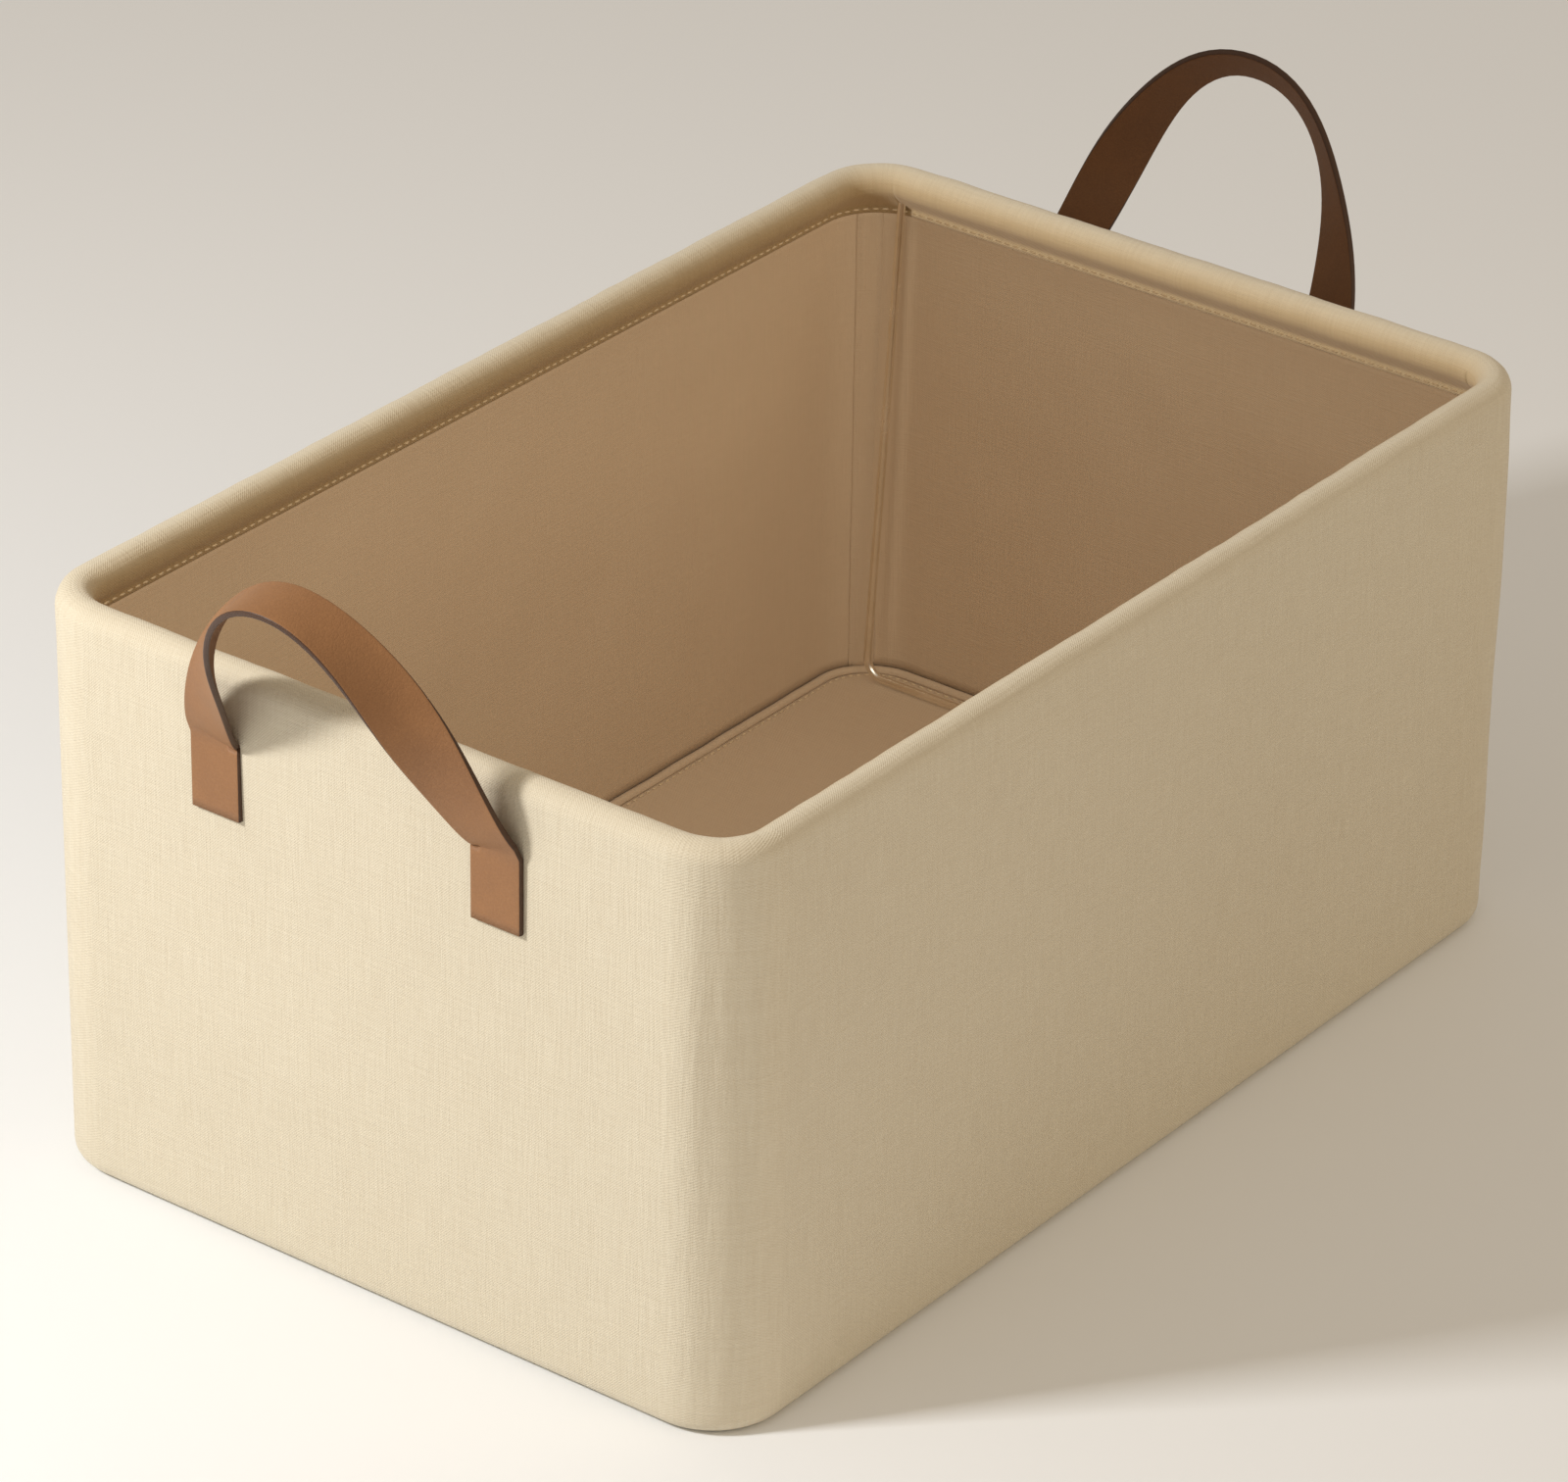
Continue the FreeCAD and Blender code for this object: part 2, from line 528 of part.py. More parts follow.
def make_frame_clips():
    """Four clips. Each is closed tight on the rim wire and holds a support's pin loosely."""
    wall, wire, long = value("clip_radius"), value("wire_radius"), value("clip_length")
    loose = wire + value("pin_fit")
    high, low = value("rim_wire_level"), value("pin_level")
    clips = []
    for side_x in (1, -1):
        for side_y in (1, -1):
            x, y = side_x * value("rim_wire_x"), side_y * value("clip_place") - long / 2
            tubes = [Part.makeCylinder(wall, long, V(x, y, z), V(0, 1, 0)) for z in (high, low)]
            web = Part.makeBox(2 * wall, long, high - low, V(x - wall, y, low))
            bores = [Part.makeCylinder(wire, long, V(x, y, high), V(0, 1, 0)),
                     Part.makeCylinder(loose, long, V(x, y, low), V(0, 1, 0))]
            clips.append(web.fuse(tubes).cut(bores).removeSplitter().Solids[0])
    feature = doc.addObject("Part::Feature", "frame_clips")
    feature.Label = "frame_clips"
    feature.Shape = Part.makeCompound(clips)
    SUBPARTS.append(feature)


def make_flat_piece(label, wide, tall, thick, x, y, z):
    """A small flat rectangle on an end wall, drawn in the YZ plane and thickened along X."""
    body = new_body(label)
    sketch = new_sketch(body, "outline", "YZ_Plane")
    half, high = value(wide) / 2, value(tall)
    spots = [(-half, 0), (half, 0), (half, high), (-half, high)]
    edges = [line(sketch, spots[i], spots[(i + 1) % 4]) for i in range(4)]
    for i in range(4):
        rule(sketch, "Coincident", edges[i], 2, edges[(i + 1) % 4], 1)
    for upright in (edges[1], edges[3]):
        rule(sketch, "Vertical", upright)
    for flat in (edges[0], edges[2]):
        rule(sketch, "Horizontal", flat)
    rule(sketch, "Symmetric", edges[0], 1, edges[0], 2, -1, 1)
    for kind, item, name in (("DistanceX", edges[0], wide), ("DistanceY", edges[1], tall)):
        index = sketch.addConstraint(Sketcher.Constraint(kind, item, 1, item, 2, value(name)))
        sketch.setExpression(f"Constraints[{index}]", cell(name))
    pad(body, sketch, thick)
    place(body, x, y, z)


def make_handle_tabs(side, hand):
    """Both sewn-down ends of one strap, and the patches inside the wall behind them."""
    for side_y, end in ((-1, "front"), (1, "back")):
        y = f"Sizes.handle_shift + {side_y} * Sizes.tab_spacing / 2"
        tab_x = "Fits.half_length" if side > 0 else "-Fits.half_length - Sizes.strap"
        patch_x = "Fits.half_length - Fits.lining_outset" if side > 0 else "Sizes.cloth - Fits.half_length"
        make_flat_piece(f"handle_tab_{hand}_{end}", "strap_width", "tab_height", "strap",
                        tab_x, y, "Fits.tab_bottom")
        make_flat_piece(f"tab_backing_{hand}_{end}", "patch_width", "patch_height", "layer_gap",
                        patch_x, y, "Fits.patch_bottom")


def strap_section(t):
    """Corners of the strap's section at t, from 0 at a tab to 1 at the crown, on the back leg.

    x is outward from the fold, y along the wall from the loop's middle, z up from the fold.
    """
    lean = math.radians(value("loop_lean"))
    tilt = math.radians(value("crown_tilt"))
    thick, wide, gap = value("strap"), value("strap_width"), value("fold_clearance")
    along = V(math.sin(lean), 0, math.cos(lean))
    start = V(-math.cos(lean), 0, math.sin(lean)) * (thick / 2) + along * gap
    start.y = value("tab_spacing") / 2
    crown = V(value("loop_reach"), 0, value("loop_rise"))
    leg = start + along * value("leg_pull")
    shoulder = crown + V(0, value("crown_pull"), 0)
    u = 1 - t
    centre = start * u ** 3 + leg * (3 * u * u * t) + shoulder * (3 * u * t * t) + crown * t ** 3
    ahead = (leg - start) * u ** 2 + (shoulder - leg) * (2 * u * t) + (crown - shoulder) * t ** 2
    ahead.normalize()
    # The width lies along the wall at the tab, and points outward at the crown.
    blend = t * t * (3 - 2 * t)
    width = V(0, -1, 0) * (1 - blend) + V(math.cos(tilt), 0, -math.sin(tilt)) * blend
    width = width - ahead * width.dot(ahead)
    width.normalize()
    face = ahead.cross(width)
    corners = []
    for a, b in ((-1, -1), (1, -1), (1, 1), (-1, 1)):
        corners.append(centre + width * (a * wide / 2) + face * (b * thick / 2))
    return corners


def make_handle_loop(side, hand):
    """The free part of one strap, lofted through sections that twist from tab to crown."""
    steps = 10
    quarter = [strap_section(i / steps) for i in range(steps + 1)]
    mirrored = [[V(p.x, -p.y, p.z) for p in section] for section in reversed(quarter[:-1])]
    wires = []
    for section in quarter + mirrored:
        spots = [V(side * p.x, p.y, p.z) for p in section]
        wires.append(Part.makePolygon(spots + spots[:1]))
    feature = doc.addObject("Part::Feature", f"handle_loop_{hand}")
    feature.Label = f"handle_loop_{hand}"
    feature.Shape = Part.makeLoft(wires, True, False)
    fold_x = value("half_length") + value("strap") + value("fold_clearance")
    feature.Placement.Base = V(side * fold_x, value("handle_shift"), value("fold_level"))
    SUBPARTS.append(feature)


make_outer_fabric()
make_floor()
make_lining_panel("lining_back", "corner_x", "corner_y", 0)
make_lining_panel("lining_front", "corner_x", "corner_y", 180)
make_lining_panel("lining_right", "corner_y", "corner_x", -90)
make_lining_panel("lining_left", "corner_y", "corner_x", 90)
for side_y, end in ((-1, "front"), (1, "back")):
    for side_x, hand in ((-1, "left"), (1, "right")):
        make_corner_binding(f"corner_binding_{end}_{hand}", side_x, side_y)
make_rim_frame()
make_frame_clips()
for side_x, hand in ((-1, "left"), (1, "right")):
    make_support_frame(f"support_frame_{hand}", side_x)
    make_handle_tabs(side_x, hand)
    make_handle_loop(side_x, hand)
doc.recompute()

failed = [item.Label for item in doc.Objects if "Invalid" in item.State or "Error" in item.State]
if failed:
    raise RuntimeError(f"features failed: {failed}")
for item in SUBPARTS:
    if item.Shape.isNull() or not item.Shape.isValid() or not item.Shape.Solids:
        raise RuntimeError(f"bad shape: {item.Label}")

os.makedirs("parts", exist_ok=True)
for item in SUBPARTS:
    item.Shape.exportStep(f"parts/{item.Label}.step")
    print(f"{item.Label}: {item.Shape.Volume / 1000:.2f} cm3")
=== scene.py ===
import json
import math
import bmesh
import bpy
from mathutils import Matrix, Quaternion, Vector, noise
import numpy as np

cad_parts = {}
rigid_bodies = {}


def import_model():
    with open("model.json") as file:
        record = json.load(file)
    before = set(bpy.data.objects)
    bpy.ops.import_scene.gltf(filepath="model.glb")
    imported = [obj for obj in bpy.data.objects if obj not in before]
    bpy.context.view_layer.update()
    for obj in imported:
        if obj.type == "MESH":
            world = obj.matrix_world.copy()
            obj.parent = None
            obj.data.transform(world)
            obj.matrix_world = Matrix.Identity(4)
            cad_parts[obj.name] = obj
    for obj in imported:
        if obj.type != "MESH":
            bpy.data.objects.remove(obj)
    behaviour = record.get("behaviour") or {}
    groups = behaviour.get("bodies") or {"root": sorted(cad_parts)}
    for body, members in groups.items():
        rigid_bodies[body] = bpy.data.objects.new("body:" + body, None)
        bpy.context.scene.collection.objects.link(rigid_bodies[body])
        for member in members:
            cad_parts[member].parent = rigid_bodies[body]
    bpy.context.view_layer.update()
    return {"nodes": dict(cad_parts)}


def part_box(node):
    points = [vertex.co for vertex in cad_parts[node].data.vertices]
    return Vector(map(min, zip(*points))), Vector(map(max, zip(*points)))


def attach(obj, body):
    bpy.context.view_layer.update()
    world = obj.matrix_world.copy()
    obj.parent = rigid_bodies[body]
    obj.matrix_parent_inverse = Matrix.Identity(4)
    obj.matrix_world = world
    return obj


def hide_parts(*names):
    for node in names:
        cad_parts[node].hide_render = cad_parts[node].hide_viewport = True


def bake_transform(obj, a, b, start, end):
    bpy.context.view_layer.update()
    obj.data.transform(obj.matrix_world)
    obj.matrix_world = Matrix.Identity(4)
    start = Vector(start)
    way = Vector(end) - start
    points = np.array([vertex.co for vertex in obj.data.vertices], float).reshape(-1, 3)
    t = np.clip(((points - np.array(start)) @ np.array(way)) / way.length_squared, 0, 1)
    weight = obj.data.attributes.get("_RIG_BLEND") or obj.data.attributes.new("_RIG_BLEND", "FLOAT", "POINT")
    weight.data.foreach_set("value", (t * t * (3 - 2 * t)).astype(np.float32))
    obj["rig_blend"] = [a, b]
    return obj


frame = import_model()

boxLow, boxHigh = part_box("outer_fabric")
halfX, halfY, boxTop = boxHigh.x, boxHigh.y, boxHigh.z
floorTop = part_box("floor_lining")[1].z
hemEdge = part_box("corner_binding_back_right")[1].z
upright = {"wireRadius": 0.0014, "splay": 0.0054}
# where an upright comes through the hem
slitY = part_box("support_frame_right")[1].y - upright["wireRadius"] - upright["splay"]
binSize = {"corner": 0.024, "bottomCurve": 0.005, "turnUnder": 0.007, "cloth": 0.001,
           "roll": 0.0056, "foot": 0.0025, "liningInset": 0.0024, "lining": 0.0008}
cornerX, cornerY = halfX - binSize["corner"], halfY - binSize["corner"]


def addPiece(name, mesh, body, materials, nodes):
    data = bpy.data.meshes.new(name)
    mesh.to_mesh(data)
    mesh.free()
    piece = bpy.data.objects.new(name, data)
    bpy.context.scene.collection.objects.link(piece)
    for material in materials:
        data.materials.append(material)
    for face in data.polygons:
        face.use_smooth = True
    if body:
        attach(piece, body)
    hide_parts(*nodes)
    return piece


def thicken(piece, thickness):
    solid = piece.modifiers.new("thickness", "SOLIDIFY")
    solid.thickness = thickness
    solid.offset = -1
    solid.use_even_offset = False


def ease(value, start, end):  # 0 before start, 1 after end, smooth between
    t = max(0, min(1, (value - start) / (end - start)))
    return t * t * (3 - 2 * t)


# the rounded outline that every cloth ring follows

def clampTo(point, limitX, limitY):
    return Vector((max(-limitX, min(limitX, point.x)), max(-limitY, min(limitY, point.y)), 0))


def outward(point):  # the nearest point of the inner rectangle, and the way out from it
    core = clampTo(point, cornerX, cornerY)
    return core, Vector((point.x - core.x, point.y - core.y, 0)).normalized()


def seat(vert, inset, level):
    core, out = outward(vert.co)
    vert.co = core + out * (binSize["corner"] - inset) + Vector((0, 0, level))


def startRing(inset, level, spacing, cornerSteps):
    mesh = bmesh.new()
    bmesh.ops.create_grid(mesh, x_segments=1, y_segments=1, size=1)
    bmesh.ops.scale(mesh, vec=(halfX - inset, halfY - inset, 1), verts=mesh.verts)
    bmesh.ops.bevel(mesh, geom=mesh.verts[:], offset=binSize["corner"] - inset, offset_type="OFFSET",
                    segments=cornerSteps, profile=0.5, affect="VERTICES", material=-1)
    straight = min(halfX, halfY)  # the four sides are longer than this, the corner steps far shorter
    for edge in [e for e in mesh.edges if e.calc_length() > straight]:
        cuts = round(edge.calc_length() / spacing) - 1
        bmesh.ops.subdivide_edges(mesh, edges=[edge], cuts=cuts)
    bmesh.ops.delete(mesh, geom=mesh.faces[:], context="FACES_ONLY")
    for vert in mesh.verts:
        vert.co.z = level
    return mesh


def markAround(mesh):
    around = mesh.verts.layers.float.new("around")
    mesh.verts.layers.float.new("along")
    vert = max(mesh.verts, key=lambda v: v.co.x + v.co.y)  # the texture's join hides at the far corner
    edge = max(vert.link_edges, key=lambda e: e.other_vert(vert).co.y)
    first, length = vert, 0
    while True:
        length += edge.calc_length()
        vert = edge.other_vert(vert)
        if vert is first:
            return length
        vert[around] = length
        edge = [e for e in vert.link_edges if e is not edge][0]


def growRing(mesh, ring, inset, level):
    along = mesh.verts.layers.float["along"]
    grown = bmesh.ops.extrude_edge_only(mesh, edges=ring)["geom"]
    verts = {g for g in grown if isinstance(g, bmesh.types.BMVert)}
    for vert in verts:
        before = vert.co.copy()
        seat(vert, inset, level)
        vert[along] += (vert.co - before).length
    return [g for g in grown if isinstance(g, bmesh.types.BMEdge) and set(g.verts) <= verts]


def layCloth(mesh, length):
    around, along = mesh.verts.layers.float["around"], mesh.verts.layers.float["along"]
    uv = mesh.loops.layers.uv.new("cloth")
    for face in mesh.faces:
        spots = [loop.vert[around] for loop in face.loops]
        wraps = max(spots) - min(spots) > length / 2
        for loop in face.loops:
            u = loop.vert[around]
            loop[uv].uv = (u + length if wraps and u < length / 2 else u, loop.vert[along])


# materials

def addNode(tree, kind, inputs, **settings):
    made = tree.nodes.new(kind)
    for name, setting in settings.items():
        setattr(made, name, setting)
    for socket, source in inputs.items():
        if isinstance(source, bpy.types.NodeSocket):
            tree.links.new(source, made.inputs[socket])
        else:
            made.inputs[socket].default_value = source
    return made


def maths(tree, operation, a, b=0.0):
    return addNode(tree, "ShaderNodeMath", {0: a, 1: b}, operation=operation).outputs[0]


def noiseOf(tree, vector, scale, detail=2.0, rough=0.5):
    inputs = {"Vector": vector, "Scale": scale, "Detail": detail, "Roughness": rough}
    return addNode(tree, "ShaderNodeTexNoise", inputs).outputs["Fac"]


def stretched(tree, vector, scale):
    return addNode(tree, "ShaderNodeMapping", {"Vector": vector, "Scale": scale}).outputs[0]


def ramp(tree, factor, low, high, toLow=0.0, toHigh=1.0):
    inputs = {"Value": factor, "From Min": low, "From Max": high, "To Min": toLow, "To Max": toHigh}
    return addNode(tree, "ShaderNodeMapRange", inputs).outputs["Result"]


def mixColour(tree, factor, a, b):
    made = addNode(tree, "ShaderNodeMix", {}, data_type="RGBA")
    for socket, source in ((made.inputs[0], factor), (made.inputs[6], a), (made.inputs[7], b)):
        if isinstance(source, bpy.types.NodeSocket):
            tree.links.new(source, socket)
        else:
            socket.default_value = source
    return made.outputs[2]


def newMaterial(name, **sockets):
    material = bpy.data.materials.new(name)
    material.use_nodes = True
    shader = material.node_tree.nodes["Principled BSDF"]
    for socket, setting in sockets.items():
        shader.inputs[socket.replace("_", " ")].default_value = setting
    return material, material.node_tree, shader


def bumpTo(tree, shader, height, strength, distance):
    made = addNode(tree, "ShaderNodeBump", {"Height": height, "Strength": strength, "Distance": distance})
    tree.links.new(made.outputs[0], shader.inputs["Normal"])


weaving = {"waverScale": 260.0, "waver": 2.6, "threadNoise": 1.1, "warpRun": 55.0, "weftRun": 60.0,
           "cloudScale": 9.0, "weaveHeight": 0.35, "slubHeight": 0.9, "height": 0.0004}


def wovenMaterial(name, look):
    material, tree, shader = newMaterial(name, Roughness=look["roughness"], Sheen_Weight=look["sheen"],
                                         Sheen_Roughness=0.45, Specular_IOR_Level=0.18)
    if look["uv"]:
        place = addNode(tree, "ShaderNodeUVMap", {}, uv_map="cloth").outputs[0]
    else:
        place = addNode(tree, "ShaderNodeTexCoord", {}).outputs["Object"]
    pitch = look["pitch"]
    waver = maths(tree, "MULTIPLY", noiseOf(tree, place, weaving["waverScale"], 1.0), weaving["waver"])
    split = addNode(tree, "ShaderNodeSeparateXYZ", {"Vector": place})
    turns = []
    for axis in (0, 1):
        angle = maths(tree, "MULTIPLY", split.outputs[axis], 2 * math.pi / pitch)
        turns.append(maths(tree, "SINE", maths(tree, "ADD", angle, waver)))
    weave = maths(tree, "MULTIPLY", turns[0], turns[1])
    fine, warpRun, weftRun = weaving["threadNoise"] / pitch, weaving["warpRun"], weaving["weftRun"]
    warp = noiseOf(tree, stretched(tree, place, (fine, warpRun, warpRun)), 1.0, 2.0, 0.6)
    weft = noiseOf(tree, stretched(tree, place, (weftRun, fine, weftRun)), 1.0, 2.0, 0.6)
    slubs = ramp(tree, maths(tree, "ADD", maths(tree, "MULTIPLY", warp, 1.3), weft), 0.80, 1.50)
    cloud = ramp(tree, noiseOf(tree, place, weaving["cloudScale"], 3.0), 0.3, 0.7)
    tone = maths(tree, "ADD", maths(tree, "MULTIPLY", slubs, look["slub"]),
                 maths(tree, "MULTIPLY", ramp(tree, weave, -1.0, 1.0), look["thread"]))
    tone = maths(tree, "ADD", tone, maths(tree, "MULTIPLY", cloud, look["cloud"]))
    tone = ramp(tree, tone, 0.0, look["slub"] + look["thread"] + look["cloud"])
    spread = [look["vary"] * share for share in (0.8, 1.0, 1.25)]  # blue varies most
    dark = [c * (1 - part) for c, part in zip(look["colour"], spread)] + [1]
    light = [c * (1 + part) for c, part in zip(look["colour"], spread)] + [1]
    colour = mixColour(tree, tone, dark, light)
    # painted shade: the turned-in hem is darkened and yellowed to stand for the shade inside the rim
    if "hem" in look:  # the part turned inwards is darker and yellower
        hemShadedDark, hemShadedLight = ([c * tint for c, tint in zip(shade, look["hemShadeTint"])] for shade in (dark, light))
        inside = ramp(tree, split.outputs[1], *look["hem"])
        colour = mixColour(tree, inside, colour, mixColour(tree, tone, hemShadedDark, hemShadedLight))
    tree.links.new(colour, shader.inputs["Base Color"])
    height = maths(tree, "ADD", maths(tree, "MULTIPLY", weave, weaving["weaveHeight"]),
                   maths(tree, "MULTIPLY", slubs, weaving["slubHeight"]))
    bumpTo(tree, shader, height, look["bump"], weaving["height"])
    return material


# "hem" is where along the cloth, in metres, the painted shade of the turned-in part comes up
linen = wovenMaterial("linen", {"uv": True, "pitch": 0.0009, "roughness": 0.88, "sheen": 0.2, "bump": 0.45,
                                "slub": 1.0, "thread": 0.45, "cloud": 0.35, "vary": 0.085,
                                "colour": (0.70, 0.63, 0.49), "hem": (0.2035, 0.2110),
                                "hemShadeTint": (0.85, 0.74, 0.58, 1)})
liningCloth = wovenMaterial("liningCloth", {"uv": True, "pitch": 0.0007, "roughness": 0.85, "sheen": 0.12,
                                            "bump": 0.3, "slub": 0.8, "thread": 0.4, "cloud": 0.6, "vary": 0.06,
                                            "colour": (0.60, 0.47, 0.335)})
tape = wovenMaterial("tape", {"uv": True, "pitch": 0.0006, "roughness": 0.82, "sheen": 0.2, "bump": 0.5,
                              "slub": 0.5, "thread": 0.7, "cloud": 0.4, "vary": 0.09,
                              "colour": (0.62, 0.485, 0.345)})
plainCloth = wovenMaterial("plainCloth", {"uv": False, "pitch": 0.0009, "roughness": 0.9, "sheen": 0.1,
                                          "bump": 0.4, "slub": 0.8, "thread": 0.5, "cloud": 0.5, "vary": 0.1,
                                          "colour": (0.58, 0.50, 0.36)})


def threadMaterial(name, dark, light):
    material, tree, shader = newMaterial(name, Roughness=0.6, Sheen_Weight=0.3, Specular_IOR_Level=0.3)
    place = addNode(tree, "ShaderNodeTexCoord", {}).outputs["Object"]
    ply = addNode(tree, "ShaderNodeTexWave", {"Vector": place, "Scale": 420.0, "Distortion": 1.5},
                  bands_direction="DIAGONAL").outputs["Fac"]
    fuzz = noiseOf(tree, place, 900.0)
    tone = maths(tree, "MULTIPLY", maths(tree, "ADD", ply, fuzz), 0.5)
    tree.links.new(mixColour(tree, tone, dark, light), shader.inputs["Base Color"])
    bumpTo(tree, shader, ply, 0.5, 0.0002)
    return material


thread = threadMaterial("thread", (0.52, 0.39, 0.24, 1), (0.80, 0.66, 0.45, 1))


hide = {"grainScale": 1500.0, "creaseScale": 520.0, "creaseStretch": 1.6, "cloudScale": 45.0,
        "cloudShare": 0.55, "bump": 0.25, "height": 0.00015}


def leatherMaterial(name, dark, light, roughness):
    material, tree, shader = newMaterial(name, Roughness=roughness, Specular_IOR_Level=0.4)
    place = addNode(tree, "ShaderNodeUVMap", {}, uv_map="strap").outputs[0]
    grain = addNode(tree, "ShaderNodeTexVoronoi", {"Vector": place, "Scale": hide["grainScale"]},
                    feature="F1").outputs["Distance"]
    cells = {"Vector": stretched(tree, place, (1.0, hide["creaseStretch"], 1.0)), "Scale": hide["creaseScale"]}
    creases = addNode(tree, "ShaderNodeTexVoronoi", cells, feature="DISTANCE_TO_EDGE").outputs["Distance"]
    creases = ramp(tree, creases, 0.0, 0.12)
    cloud = ramp(tree, noiseOf(tree, place, hide["cloudScale"], 3.0, 0.6), 0.3, 0.7)
    tone = maths(tree, "ADD", maths(tree, "MULTIPLY", cloud, hide["cloudShare"]),
                 maths(tree, "MULTIPLY", grain, 1 - hide["cloudShare"]))
    tree.links.new(mixColour(tree, tone, dark, light), shader.inputs["Base Color"])
    rough = ramp(tree, cloud, 0.0, 1.0, roughness - 0.05, roughness + 0.08)
    tree.links.new(rough, shader.inputs["Roughness"])
    height = maths(tree, "ADD", maths(tree, "MULTIPLY", grain, -0.5), creases)
    bumpTo(tree, shader, height, hide["bump"], hide["height"])
    return material


leather = leatherMaterial("leather", (0.250, 0.118, 0.048, 1), (0.345, 0.168, 0.070, 1), 0.52)
leatherEdge = leatherMaterial("leatherEdge", (0.045, 0.020, 0.010, 1), (0.085, 0.038, 0.018, 1), 0.45)
# painted shade: the strap's back face is darkened to stand for the shade on the far strap's underside
leatherBack = leatherMaterial("leatherBack", (0.135, 0.060, 0.025, 1), (0.195, 0.090, 0.038, 1), 0.8)


def metalMaterial(name, dark, light, roughness):
    material, tree, shader = newMaterial(name, Metallic=1.0, Roughness=roughness)
    place = addNode(tree, "ShaderNodeTexCoord", {}).outputs["Object"]
    streaks = noiseOf(tree, stretched(tree, place, (900.0, 900.0, 30.0)), 1.0, 2.0)
    patches = ramp(tree, noiseOf(tree, place, 70.0, 3.0), 0.35, 0.7)
    tree.links.new(mixColour(tree, patches, dark, light), shader.inputs["Base Color"])
    rough = maths(tree, "ADD", ramp(tree, patches, 0.0, 1.0, roughness - 0.04, roughness + 0.06),
                  maths(tree, "MULTIPLY", streaks, 0.06))
    tree.links.new(rough, shader.inputs["Roughness"])
    bumpTo(tree, shader, streaks, 0.05, 0.0001)
    return material


wireMetal = metalMaterial("wireMetal", (0.86, 0.80, 0.70, 1), (0.95, 0.91, 0.84, 1), 0.2)
clipMetal = metalMaterial("clipMetal", (0.52, 0.52, 0.50, 1), (0.66, 0.66, 0.64, 1), 0.35)


def boardMaterial():
    material, tree, shader = newMaterial("fibreBoard", Roughness=0.85)
    place = addNode(tree, "ShaderNodeTexCoord", {}).outputs["Object"]
    fibres = noiseOf(tree, place, 700.0, 4.0, 0.7)
    colour = mixColour(tree, fibres, (0.20, 0.13, 0.08, 1), (0.36, 0.26, 0.17, 1))
    tree.links.new(colour, shader.inputs["Base Color"])
    bumpTo(tree, shader, fibres, 0.3, 0.0003)
    return material


fibreBoard = boardMaterial()
tabBackings = [f"tab_backing_{hand}_{end}" for hand in ("left", "right") for end in ("front", "back")]
for names, material in ((("support_frame_left", "support_frame_right", "rim_frame"), wireMetal),
                        (("frame_clips",), clipMetal), (("base_board",), fibreBoard),
                        (tabBackings, plainCloth)):
    for name in names:
        data = frame["nodes"][name].data
        data.materials.clear()
        data.materials.append(material)
        for face in data.polygons:
            face.material_index = 0
print("materials made")


# the outer cloth: one sheet from the underside, up the wall, round the rim wire and down the hem

shell = {"spacing": 0.0034, "cornerSteps": 14, "bottomSteps": 5, "wallSteps": 42, "crestSteps": 18,
         "flankSteps": 4, "sag": 0.0009, "crinkle": 0.00025, "rollWobble": 0.00035,
         "footFade": (0.004, 0.03), "topFade": (0.165, 0.184), "rimFade": (0.176, 0.182),
         "innerFade": (0.002, 0.004)}
rollLevel = boxTop - binSize["roll"]
footInset, footTop = binSize["liningInset"] + binSize["cloth"], hemEdge + binSize["foot"]
reach = Vector((footInset - binSize["roll"], footTop - rollLevel))  # roll axis to the top of the foot
# the angle where the roll ends and the straight flank begins
touch = math.pi + math.atan2(-reach.y, reach.x) - math.acos(binSize["roll"] / reach.length)


def clothRings():
    low, roll = binSize["bottomCurve"], binSize["roll"]
    rings = [(low + binSize["turnUnder"] / 2, 0), (low, 0)]
    for i in range(1, shell["bottomSteps"] + 1):
        turn = math.pi / 2 * i / shell["bottomSteps"]
        rings.append((low - low * math.sin(turn), low - low * math.cos(turn)))
    for i in range(1, shell["wallSteps"] + 1):
        rings.append((0, low + (rollLevel - low) * i / shell["wallSteps"]))
    for i in range(1, shell["crestSteps"] + 1):
        turn = touch * i / shell["crestSteps"]
        rings.append((roll - roll * math.cos(turn), rollLevel + roll * math.sin(turn)))
    inset, level = rings[-1]
    for i in range(1, shell["flankSteps"] + 1):
        t = i / shell["flankSteps"]
        rings.append((inset + (footInset - inset) * t, level + (footTop - level) * t))
    return rings + [(footInset, footTop - binSize["foot"] / 2), (footInset, hemEdge)]


def softenShell(mesh):
    mesh.normal_update()
    moves = []
    for vert in mesh.verts:
        spot = vert.co
        inner = ease(halfX - abs(spot.x), *shell["innerFade"]) * ease(halfY - abs(spot.y), *shell["innerFade"])
        height = ease(spot.z, *shell["footFade"]) * (1 - ease(spot.z, *shell["topFade"]))
        broad = noise.noise(Vector((spot.x * 11, spot.y * 11, spot.z * 16 + 3)))
        fine = noise.noise(Vector((spot.x * 46, spot.y * 46, spot.z * 30 + 9)))
        move = height * (shell["sag"] * (0.45 + broad) + shell["crinkle"] * fine) * (1 - inner)
        rim = ease(spot.z, *shell["rimFade"])
        wobble = noise.noise(Vector((spot.x * 38, spot.y * 38, 5))) * 0.7
        wobble += noise.noise(Vector((spot.x * 150, spot.y * 150, spot.z * 60))) * 0.5
        move += rim * shell["rollWobble"] * wobble
        moves.append(vert.normal * move)
    for vert, move in zip(mesh.verts, moves):
        vert.co += move


slit = {"reach": 0.012, "below": 0.001, "above": 0.0015, "deepest": 0.03, "outermost": 0.0015}


